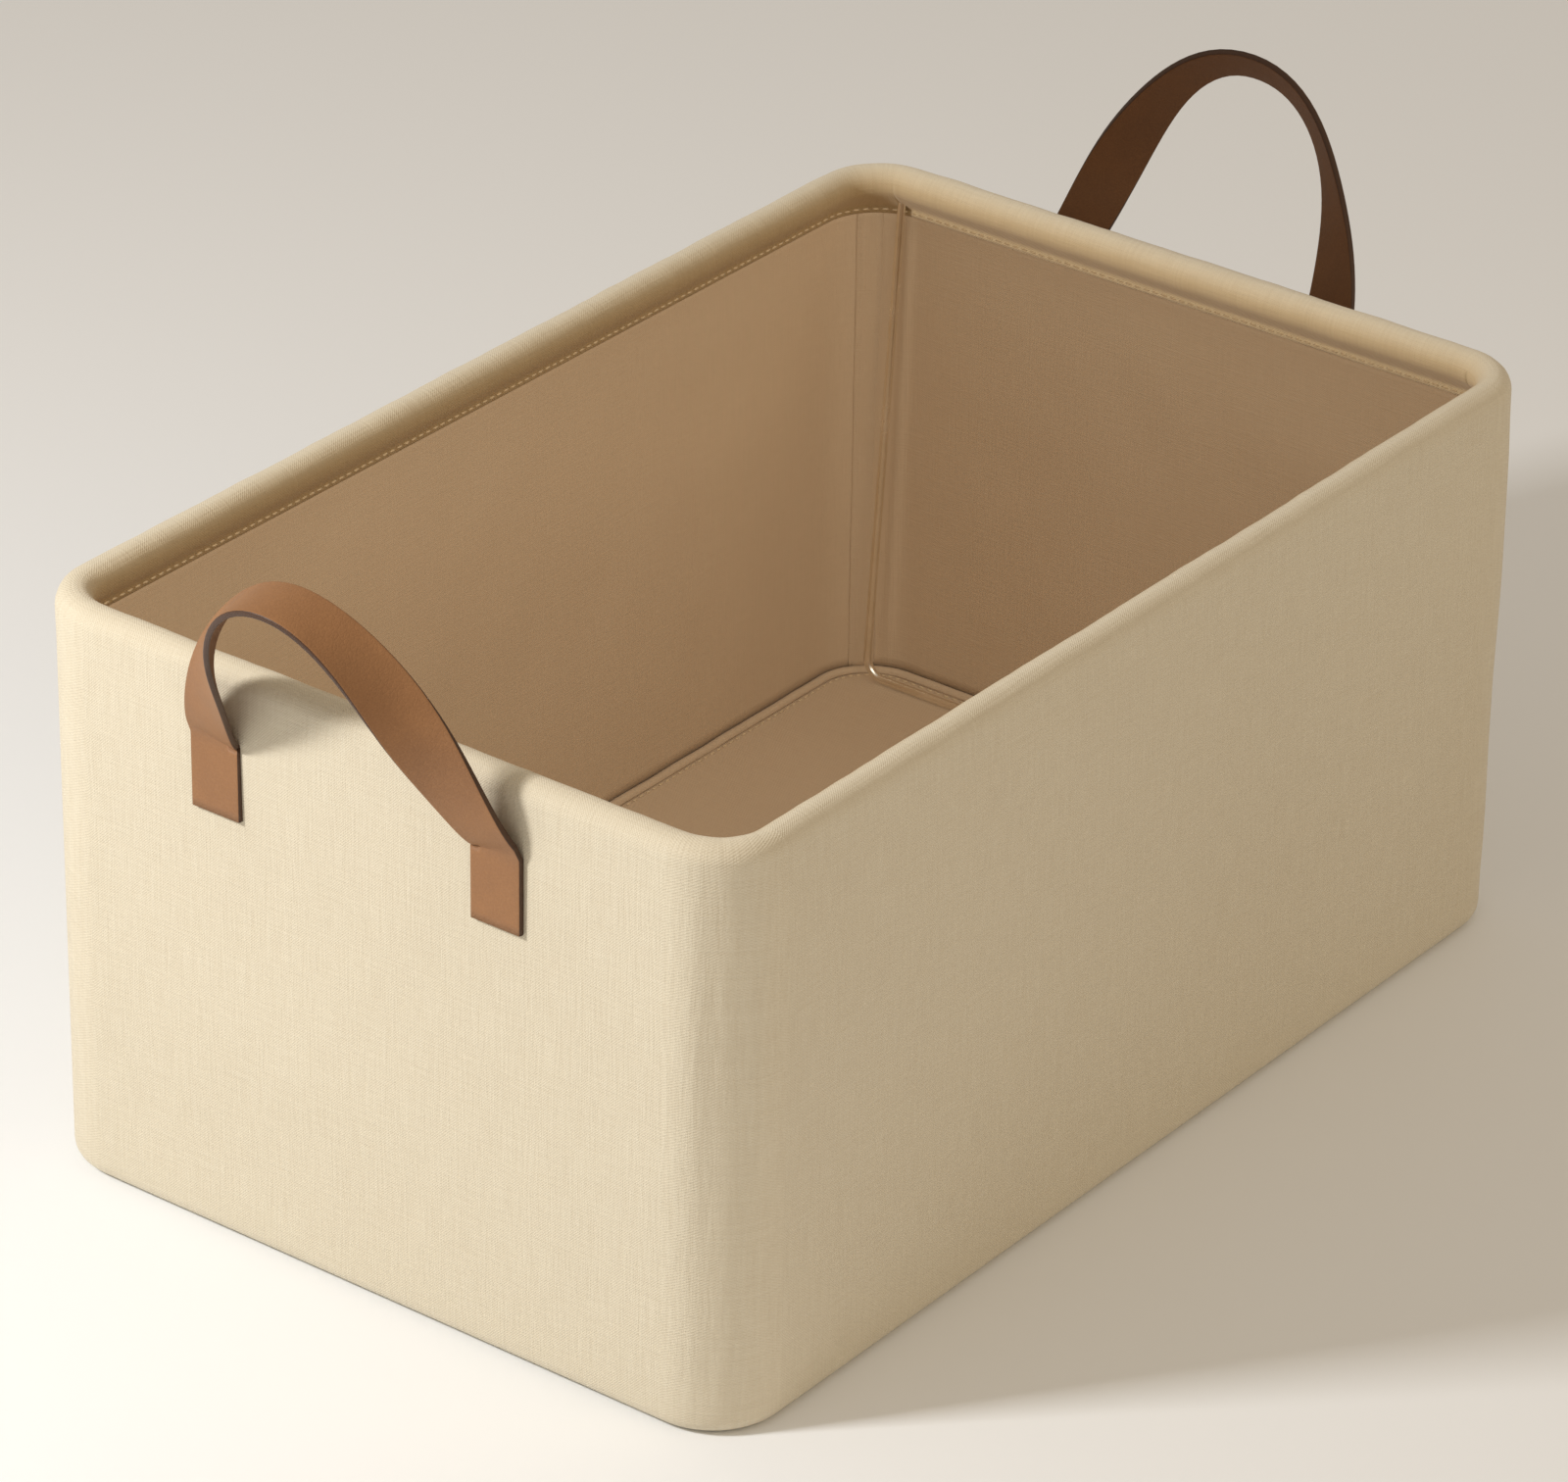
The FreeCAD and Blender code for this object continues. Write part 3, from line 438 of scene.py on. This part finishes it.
def cutSlit(mesh, sideX, sideY):  # the closed buttonhole that an upright comes through
    middle = sideY * slitY

    def near(item):
        spot = item.calc_center_median()
        return (abs(spot.y - middle) < slit["reach"]
                and footTop - slit["below"] < spot.z < rollLevel + slit["above"]
                and halfX - slit["deepest"] < sideX * spot.x < halfX - slit["outermost"])

    faces = [f for f in mesh.faces if near(f)]
    geom = faces + list({e for f in faces for e in f.edges}) + list({v for f in faces for v in f.verts})
    cut = bmesh.ops.bisect_plane(mesh, geom=geom, plane_co=(0, middle, 0), plane_no=(0, 1, 0))["geom_cut"]
    bmesh.ops.split_edges(mesh, edges=[e for e in cut if isinstance(e, bmesh.types.BMEdge)])


def makeShell():
    rings = clothRings()
    mesh = startRing(binSize["bottomCurve"] + binSize["turnUnder"], 0, shell["spacing"], shell["cornerSteps"])
    length = markAround(mesh)
    ring = mesh.edges[:]
    for inset, level in rings:
        ring = growRing(mesh, ring, inset, level)
    layCloth(mesh, length)
    bmesh.ops.recalc_face_normals(mesh, faces=mesh.faces)
    softenShell(mesh)
    for sideX in (-1, 1):
        for sideY in (-1, 1):
            cutSlit(mesh, sideX, sideY)
    piece = addPiece("outerCloth", mesh, "box", [linen], ["outer_fabric"])
    thicken(piece, binSize["cloth"])


makeShell()
print("outer cloth made")


# lining: four wall panels, the floor and the cloth of the underside

panels = {"spacing": 0.005, "cornerSteps": 8, "rows": 34, "bulge": 0.0008, "ripple": 0.0005,
          "endSpacing": 0.0016, "endCornerSteps": 24, "ridge": 0.0009, "ridgeOff": 0.0034, "ridgeWide": 0.0013,
          "ridgeTop": 0.0125, "ridgeLow": 0.0175, "ridgeBase": 0.006, "ridgeFade": 0.006}


def uprightRidge(y, z):  # the cloth stands up softly on both sides of the wire upright
    fall = max(0, min(1, z / hemEdge))
    middle = halfY - binSize["corner"] - panels["ridgeBase"] + panels["ridgeLow"]
    middle += (panels["ridgeTop"] - panels["ridgeLow"]) * fall
    away = (abs(y - middle) - panels["ridgeOff"]) / panels["ridgeWide"]
    ends = ease(z, floorTop, 0.02) * (1 - ease(z, hemEdge - panels["ridgeFade"], hemEdge))
    return panels["ridge"] * math.exp(-away * away) * ends


def makeLining(name, node, axis, sign):
    inset, low = binSize["liningInset"], binSize["bottomCurve"] - 0.001
    if axis == 0:  # the end panels carry the narrow ridges beside the uprights
        mesh = startRing(inset, low, panels["endSpacing"], panels["endCornerSteps"])
    else:
        mesh = startRing(inset, low, panels["spacing"], panels["cornerSteps"])
    length = markAround(mesh)
    other = 1 - axis
    ring = mesh.edges[:]
    for i in range(1, panels["rows"] + 1):
        ring = growRing(mesh, ring, inset, low + (footTop - low) * i / panels["rows"])
    gone = []
    for face in mesh.faces:
        core, out = outward(face.calc_center_median())
        if out[axis] * sign < abs(out[other]):
            gone.append(face)
    bmesh.ops.delete(mesh, geom=gone, context="FACES")
    layCloth(mesh, length)
    bmesh.ops.recalc_face_normals(mesh, faces=mesh.faces)
    if mesh.faces[:][0].normal[axis] * sign > 0:
        bmesh.ops.reverse_faces(mesh, faces=mesh.faces)
    half = (cornerX, cornerY)[other]
    for vert in mesh.verts:
        spot = vert.co
        side = 1 - ease(abs(spot[other]) / half, 0.72, 1.0)
        rise = ease(spot.z, floorTop, 0.05) * (1 - ease(spot.z, 0.13, hemEdge))
        broad = noise.noise(Vector((spot.x * 13 + 7, spot.y * 13, spot.z * 17)))
        fine = noise.noise(Vector((spot.x * 40, spot.y * 40 + 3, spot.z * 34)))
        move = side * rise * (panels["bulge"] * (0.5 + broad) + panels["ripple"] * fine)
        vert.co[axis] -= sign * max(-0.0002, move)
        if axis == 0:
            vert.co.x -= sign * uprightRidge(abs(spot.y), spot.z)
    piece = addPiece(name, mesh, "box", [liningCloth], [node])
    thicken(piece, binSize["lining"])


makeLining("liningBack", "lining_back", 1, 1)
makeLining("liningFront", "lining_front", 1, -1)
makeLining("liningRight", "lining_right", 0, 1)
makeLining("liningLeft", "lining_left", 0, -1)


def makePlate(name, node, inset, level, thickness, material, puff, faceDown):
    mesh = bmesh.new()
    bmesh.ops.create_grid(mesh, x_segments=80, y_segments=52, size=1)
    halfWide, halfDeep, radius = halfX - inset, halfY - inset, binSize["corner"] - inset
    bmesh.ops.scale(mesh, vec=(halfWide, halfDeep, 1), verts=mesh.verts)
    uv = mesh.loops.layers.uv.new("cloth")
    for face in mesh.faces:
        for loop in face.loops:
            loop[uv].uv = loop.vert.co.xy
    for vert in mesh.verts:
        core = clampTo(vert.co, halfWide - radius, halfDeep - radius)
        out = vert.co - core
        if out.length > 0:
            vert.co = core + out * (max(abs(out.x), abs(out.y)) / out.length)
        edge = ease(halfWide - abs(vert.co.x), 0, 0.02) * ease(halfDeep - abs(vert.co.y), 0, 0.02)
        wave = noise.noise(Vector((vert.co.x * 12, vert.co.y * 12, 4)))
        vert.co.z = level + puff * edge * (0.5 + wave)
    bmesh.ops.recalc_face_normals(mesh, faces=mesh.faces)
    if (mesh.faces[:][0].normal.z < 0) != faceDown:
        bmesh.ops.reverse_faces(mesh, faces=mesh.faces)
    piece = addPiece(name, mesh, "box", [material], [node])
    thicken(piece, thickness)


makePlate("floorCloth", "floor_lining", binSize["liningInset"], floorTop, binSize["lining"],
          liningCloth, puff=0.0003, faceDown=False)
baseGap = 0.0002  # between the base cloth and the edge that is turned under
makePlate("baseCloth", "base_fabric", binSize["bottomCurve"] + binSize["turnUnder"] + baseGap, 0.0001,
          binSize["cloth"] - baseGap, linen, puff=0.0002, faceDown=True)
print("lining made")


# bindings over the seams

binding = {"width": 0.009, "rise": 0.0009, "thick": 0.0006, "wander": 0.0003, "ripple": 0.00012,
           "groove": 0.00035, "grooveAt": 0.72, "grooveWide": 0.1, "above": 0.0012, "under": 0.001,
           "weltWidth": 0.003, "weltHeight": 0.002, "weltBumps": 0.0003}
# the welt's section, as shares of its width and height
weltSection = ((0.02, 0.5), (0.1, 0.8), (0.28, 0.97), (0.5, 1.0),
               (0.72, 0.93), (0.9, 0.66), (1.0, 0.3), (1.0, 0))


def makeCornerBinding(sideX, sideY, node):
    low, high = floorTop + binding["above"], hemEdge + binding["under"]
    mesh = bmesh.new()
    bmesh.ops.create_grid(mesh, x_segments=14, y_segments=64, size=0.5)
    uv = mesh.loops.layers.uv.new("cloth")
    for face in mesh.faces:
        for loop in face.loops:
            loop[uv].uv = (loop.vert.co.x * binding["width"], loop.vert.co.y * (high - low))
    radius = binSize["corner"] - binSize["liningInset"]
    facing = math.atan2(sideY, sideX)
    for vert in mesh.verts:
        across, up = vert.co.x * 2, vert.co.y + 0.5
        wander = binding["wander"] * noise.noise(Vector((sideX * 3, sideY * 5, up * 9)))
        angle = facing + (across * binding["width"] / 2 + wander) / radius
        sewn = (abs(across) - binding["grooveAt"]) / binding["grooveWide"]
        rise = binding["rise"] * (1 - abs(across) ** 6) - binding["groove"] * math.exp(-sewn ** 2)
        rise += binding["ripple"] * noise.noise(Vector((across * 2, sideX, up * 55)))
        out = radius - max(0.00005, rise)
        vert.co = Vector((sideX * cornerX + out * math.cos(angle), sideY * cornerY + out * math.sin(angle),
                          low + up * (high - low)))
    bmesh.ops.recalc_face_normals(mesh, faces=mesh.faces)
    inward = Vector((-sideX, -sideY, 0))
    if mesh.faces[:][0].normal.dot(inward) < 0:
        bmesh.ops.reverse_faces(mesh, faces=mesh.faces)
    name = "binding" + node.removeprefix("corner_binding").title().replace("_", "")
    piece = addPiece(name, mesh, "box", [tape], [node])
    thicken(piece, binding["thick"])


for sideX, hand in ((-1, "left"), (1, "right")):
    for sideY, end in ((-1, "front"), (1, "back")):
        makeCornerBinding(sideX, sideY, f"corner_binding_{end}_{hand}")


def makeFloorBinding():
    inset, width, height = binSize["liningInset"], binding["weltWidth"], binding["weltHeight"]
    mesh = startRing(inset, floorTop, 0.004, 10)
    length = markAround(mesh)
    first = ring = mesh.edges[:]
    for across, up in weltSection:
        ring = growRing(mesh, ring, inset + width * across, floorTop + height * up)
    bmesh.ops.bridge_loops(mesh, edges=first + ring)
    layCloth(mesh, length)
    bmesh.ops.recalc_face_normals(mesh, faces=mesh.faces)
    for vert in mesh.verts:
        if vert.co.z > floorTop + binding["weltBumps"]:
            vert.co.z += binding["weltBumps"] * noise.noise(Vector((vert.co.x * 90, vert.co.y * 90, 1)))
    addPiece("floorBinding", mesh, "box", [tape], ["floor_binding"])


makeFloorBinding()
print("bindings made")


# stitches

stitches = {"pitch": 0.0034, "fill": 0.40, "thick": 0.00034, "swell": 0.15, "turn": 0.05, "drift": 0.0001,
            "overHem": 0.0014, "pastWelt": 0.0013}


def makeStitches(name, node, inset, level):
    pattern = bmesh.new()
    bmesh.ops.create_uvsphere(pattern, u_segments=6, v_segments=4, radius=1)
    source = bpy.data.meshes.new("stitchPattern")
    pattern.to_mesh(source)
    pattern.free()
    ring = startRing(inset, level, stitches["pitch"], 10)
    mesh = bmesh.new()
    for edge in ring.edges:
        ends = [v.co for v in edge.verts]
        middle, run = (ends[0] + ends[1]) / 2, ends[1] - ends[0]
        jitter = noise.noise(middle * 900)
        turn = Matrix.Rotation(math.atan2(run.y, run.x) + stitches["turn"] * jitter, 4, "Z")
        high = stitches["thick"] * (1 + stitches["swell"] * jitter)
        shape = Matrix.Diagonal((run.length * stitches["fill"], stitches["thick"], high, 1))
        before = len(mesh.verts)
        mesh.from_mesh(source)
        mesh.verts.ensure_lookup_table()
        middle = middle + Vector((0, 0, stitches["drift"] * jitter))
        bmesh.ops.transform(mesh, matrix=Matrix.Translation(middle) @ turn @ shape, verts=mesh.verts[before:])
    ring.free()
    bpy.data.meshes.remove(source)
    addPiece(name, mesh, "box", [thread], [node])


makeStitches("hemStitches", "hem_stitching", footInset + 0.0001, hemEdge + stitches["overHem"])
makeStitches("floorStitches", "floor_stitching",
             binSize["liningInset"] + binding["weltWidth"] + stitches["pastWelt"], floorTop + 0.0002)
print("stitches made")


# handles: one strap each, sewn down at both ends

strap = {"width": 0.018, "thick": 0.002, "round": 0.00055, "spacing": 0.103, "gap": 0.0003,
         "tabSteps": 9, "loopSteps": 30, "loopStart": 0.004, "foldGap": 0.0012, "columns": 32,
         "backShift": 0.05, "flankShare": 0.62, "blendReach": 0.003, "rollAt": 1.22, "rollSpread": 0.32,
         "left": {"lean": 49, "legPull": 0.0106, "inward": 16, "slant": 9, "reach": 0.0278, "rise": 0.0705,
                  "crownPull": 0.0323, "crownTilt": 5.5, "turning": 1.0, "roll": 0},
         "right": {"lean": 55, "legPull": 0.023, "inward": 14, "slant": 4, "reach": 0.0312, "rise": 0.0732,
                   "crownPull": 0.0392, "crownTilt": 32, "turning": 0.87, "roll": -22}}


def strapStation(t, bend):  # t runs from the fold, 0, to the crown, 1
    lean, tilt, inward, slant = (math.radians(bend[k]) for k in ("lean", "crownTilt", "inward", "slant"))
    leg = Vector((math.sin(lean), 0, math.cos(lean)))
    start = Vector((-math.cos(lean), 0, math.sin(lean))) * (strap["thick"] / 2) + leg * strap["gap"]
    start.y = strap["spacing"] / 2
    crown = Vector((bend["reach"], 0, bend["rise"]))
    pull = leg * math.cos(inward) - Vector((0, math.sin(inward), 0))
    a, b, c, d = start, start + pull * bend["legPull"], crown + Vector((0, bend["crownPull"], 0)), crown
    u = 1 - t
    centre = a * u ** 3 + b * 3 * u * u * t + c * 3 * u * t * t + d * t ** 3
    ahead = ((b - a) * u * u + (c - b) * 2 * u * t + (d - c) * t * t).normalized()
    twist = ease(t ** bend["turning"], 0, 1)
    width = Vector((0, -math.cos(slant), -math.sin(slant))) * (1 - twist)
    width += Vector((math.cos(tilt), 0, -math.sin(tilt))) * twist
    width = (width - ahead * width.dot(ahead)).normalized()
    return centre, ahead, width


def makeStrap(hand, side):
    tabLow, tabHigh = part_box(f"handle_tab_{hand}_back")
    foldZ = tabHigh.z
    foldX = max(abs(tabLow.x), abs(tabHigh.x)) + strap["gap"]
    middle = (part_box(f"handle_tab_{hand}_front")[0].y + tabHigh.y) / 2
    lieX = halfX + strap["thick"] / 2 - foldX
    stations = []
    rise = foldZ - tabLow.z
    for i in range(strap["tabSteps"]):
        z = -rise + (rise - strap["foldGap"]) * i / (strap["tabSteps"] - 1)
        stations.append((Vector((lieX, strap["spacing"] / 2, z)), Vector((0, 0, 1)), Vector((0, -1, 0))))
    for i in range(strap["loopSteps"] + 1):
        t = strap["loopStart"] + (1 - strap["loopStart"]) * i / strap["loopSteps"]
        stations.append(strapStation(t, strap[hand]))
    mirrored = [(Vector((c.x, -c.y, c.z)), Vector((-a.x, a.y, -a.z)), Vector((w.x, -w.y, w.z)))
                for c, a, w in reversed(stations[:-1])]
    stations += mirrored
    # the loop leans over a little past its crown
    for i, (centre, ahead, width) in enumerate(stations):
        offCentre = ((i - strap["tabSteps"]) / strap["loopSteps"] - strap["rollAt"]) / strap["rollSpread"]
        roll = math.radians(strap[hand]["roll"]) * math.exp(-offCentre * offCentre)
        stations[i] = (centre, ahead, width * math.cos(roll) + ahead.cross(width) * math.sin(roll))

    mesh = bmesh.new()
    bmesh.ops.create_grid(mesh, x_segments=1, y_segments=1, size=0.5)
    bmesh.ops.scale(mesh, vec=(strap["width"], strap["thick"], 1), verts=mesh.verts)
    bmesh.ops.bevel(mesh, geom=mesh.verts[:], offset=strap["round"], segments=3, profile=0.5,
                    affect="VERTICES", material=-1)
    wide = [e for e in mesh.edges if e.calc_length() > strap["width"] / 2]
    bmesh.ops.subdivide_edges(mesh, edges=wide, cuts=strap["columns"] - 1)
    # the cuts also join front to back, which would make walls inside the strap
    bmesh.ops.dissolve_edges(mesh, edges=[e for e in mesh.edges if not e.is_boundary], use_verts=False)
    across, along = mesh.verts.layers.float.new("across"), mesh.verts.layers.float.new("along")
    flank, back = mesh.verts.layers.float.new("flank"), mesh.verts.layers.float.new("back")
    flankX = strap["width"] / 2 - strap["round"] * strap["flankShare"]
    for vert in mesh.verts:
        vert[across] = vert.co.x + (strap["backShift"] if vert.co.y < 0 else 0)
        vert[flank] = 1 if abs(vert.co.x) > flankX else 0
        vert[back] = 1 if vert.co.y < 0 else 0

    def matrixAt(station):
        centre, ahead, width = station
        face = ahead.cross(width)
        turn = Matrix((width, face, ahead)).transposed().to_4x4()
        return Matrix.Translation(centre) @ turn

    here = matrixAt(stations[0])
    bmesh.ops.transform(mesh, matrix=here, verts=mesh.verts)
    ring = mesh.edges[:]
    for before, station in zip(stations, stations[1:]):
        grown = bmesh.ops.extrude_edge_only(mesh, edges=ring)["geom"]
        verts = {g for g in grown if isinstance(g, bmesh.types.BMVert)}
        ring = [g for g in grown if isinstance(g, bmesh.types.BMEdge) and set(g.verts) <= verts]
        there = matrixAt(station)
        bmesh.ops.transform(mesh, matrix=there @ here.inverted(), verts=list(verts))
        for vert in verts:
            vert[along] += (station[0] - before[0]).length
        here = there
    bmesh.ops.contextual_create(mesh, geom=ring)
    for face in mesh.faces:
        if all(v[flank] > 0.5 for v in face.verts) or len(face.verts) > 4:
            face.material_index = 1
        elif all(v[back] > 0.5 for v in face.verts):
            face.material_index = 2
    uv = mesh.loops.layers.uv.new("strap")
    for face in mesh.faces:
        for loop in face.loops:
            loop[uv].uv = (loop.vert[across], loop.vert[along])
    place = Matrix.Translation((side * foldX, middle, foldZ)) @ Matrix.Diagonal((side, 1, 1, 1))
    bmesh.ops.transform(mesh, matrix=place, verts=mesh.verts)
    bmesh.ops.recalc_face_normals(mesh, faces=mesh.faces)
    piece = addPiece(f"strap{hand.title()}", mesh, None, [leather, leatherEdge, leatherBack],
                     [f"handle_loop_{hand}", f"handle_tab_{hand}_front", f"handle_tab_{hand}_back"])
    near, far = foldZ - strap["blendReach"], foldZ + strap["blendReach"]
    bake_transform(piece, "box", f"handle_{hand}", start=(0, 0, near), end=(0, 0, far))


makeStrap("left", -1)
makeStrap("right", 1)
print("straps made")


# floor, lights and camera

stage = {"floor": (0.90, 0.93, 0.97, 1), "world": (1.0, 0.88, 0.73, 1), "worldStrength": 0.47,
         "keyPower": 10.5, "keySize": 0.16, "keyAt": (-0.92, 0.50, 0.85),
         "fillPower": 8.0, "fillSize": 1.6, "fillAt": (0.2, -2.2, 1.5),
         "insidePower": 8.6, "insideSize": 1.2, "insideAt": (-0.7, -0.85, 1.15),
         "floorSize": 12, "floorDrop": 0.0002,
         "keyColour": (1.0, 0.98, 0.95), "fillColour": (1.0, 0.71, 0.38), "insideColour": (1.0, 0.91, 0.76)}


def makeFloor():
    mesh = bmesh.new()
    bmesh.ops.create_grid(mesh, x_segments=1, y_segments=1, size=stage["floorSize"])
    data = bpy.data.meshes.new("floor")
    mesh.to_mesh(data)
    mesh.free()
    data.materials.append(newMaterial("floorPaper", Base_Color=stage["floor"], Roughness=0.9)[0])
    floor = bpy.data.objects.new("floor", data)
    floor.location.z = -stage["floorDrop"]
    bpy.context.scene.collection.objects.link(floor)


makeFloor()
world = bpy.data.worlds.new("studio")
world.use_nodes = True
world.node_tree.nodes["Background"].inputs["Color"].default_value = stage["world"]
world.node_tree.nodes["Background"].inputs["Strength"].default_value = stage["worldStrength"]
bpy.context.scene.world = world


def addLight(name, power, size, place, aim, colour, linked, state):
    lamp = bpy.data.lights.new(name, "AREA")
    lamp.energy, lamp.size, lamp.color = power, size, colour
    light = bpy.data.objects.new(name, lamp)
    light.location = place
    light.rotation_mode = "QUATERNION"
    light.rotation_quaternion = (Vector(place) - Vector(aim)).to_track_quat("Z", "Y")
    light.visible_camera = False
    bpy.context.scene.collection.objects.link(light)
    if linked:
        reached = bpy.data.collections.new(name + "Reach")
        for piece in linked:
            reached.objects.link(piece)
        for entry in reached.collection_objects:
            entry.light_linking.link_state = state
        light.light_linking.receiver_collection = reached
    return lamp


# the key light grazes the end wall and leaves the inside to a softer one
insideNames = ("lining", "binding", "floorCloth", "floorBinding", "floorStitches", "hemStitches")
insidePieces = [piece for piece in bpy.data.objects if piece.name.startswith(insideNames)]
farStrap = [bpy.data.objects["strapRight"]]
wires = [bpy.data.objects[name] for name in ("support_frame_left", "support_frame_right")]
binMiddle, nearEnd = (0, 0, boxTop / 2), (-halfX, 0, boxTop / 2)
addLight("keyLight", stage["keyPower"], stage["keySize"], stage["keyAt"], nearEnd,
         stage["keyColour"], insidePieces + farStrap, "EXCLUDE")
addLight("fillLight", stage["fillPower"], stage["fillSize"], stage["fillAt"], binMiddle,
         stage["fillColour"], None, None)
insideLamp = addLight("insideLight", stage["insidePower"], stage["insideSize"], stage["insideAt"], binMiddle,
                      stage["insideColour"], insidePieces + wires, "INCLUDE")
insideLamp.use_shadow = False

view = {"azimuth": -52.888, "elevation": 28.466, "roll": 0.88, "distance": 2.2629, "lens": 172.4,
        "aim": (-0.01035, -0.00109, 0.104)}
azimuth, elevation = math.radians(view["azimuth"]), math.radians(view["elevation"])
level = math.cos(elevation)
back = Vector((math.sin(azimuth) * level, -math.cos(azimuth) * level, math.sin(elevation)))
lensData = bpy.data.cameras.new("camera")
lensData.lens, lensData.sensor_width = view["lens"], 36
camera = bpy.data.objects.new("camera", lensData)
camera.location = Vector(view["aim"]) + back * view["distance"]
camera.rotation_mode = "QUATERNION"
camera.rotation_quaternion = back.to_track_quat("Z", "Y") @ Quaternion((0, 0, 1), math.radians(view["roll"]))
bpy.context.scene.collection.objects.link(camera)
bpy.context.scene.camera = camera
bpy.context.scene.view_settings.view_transform = "Standard"
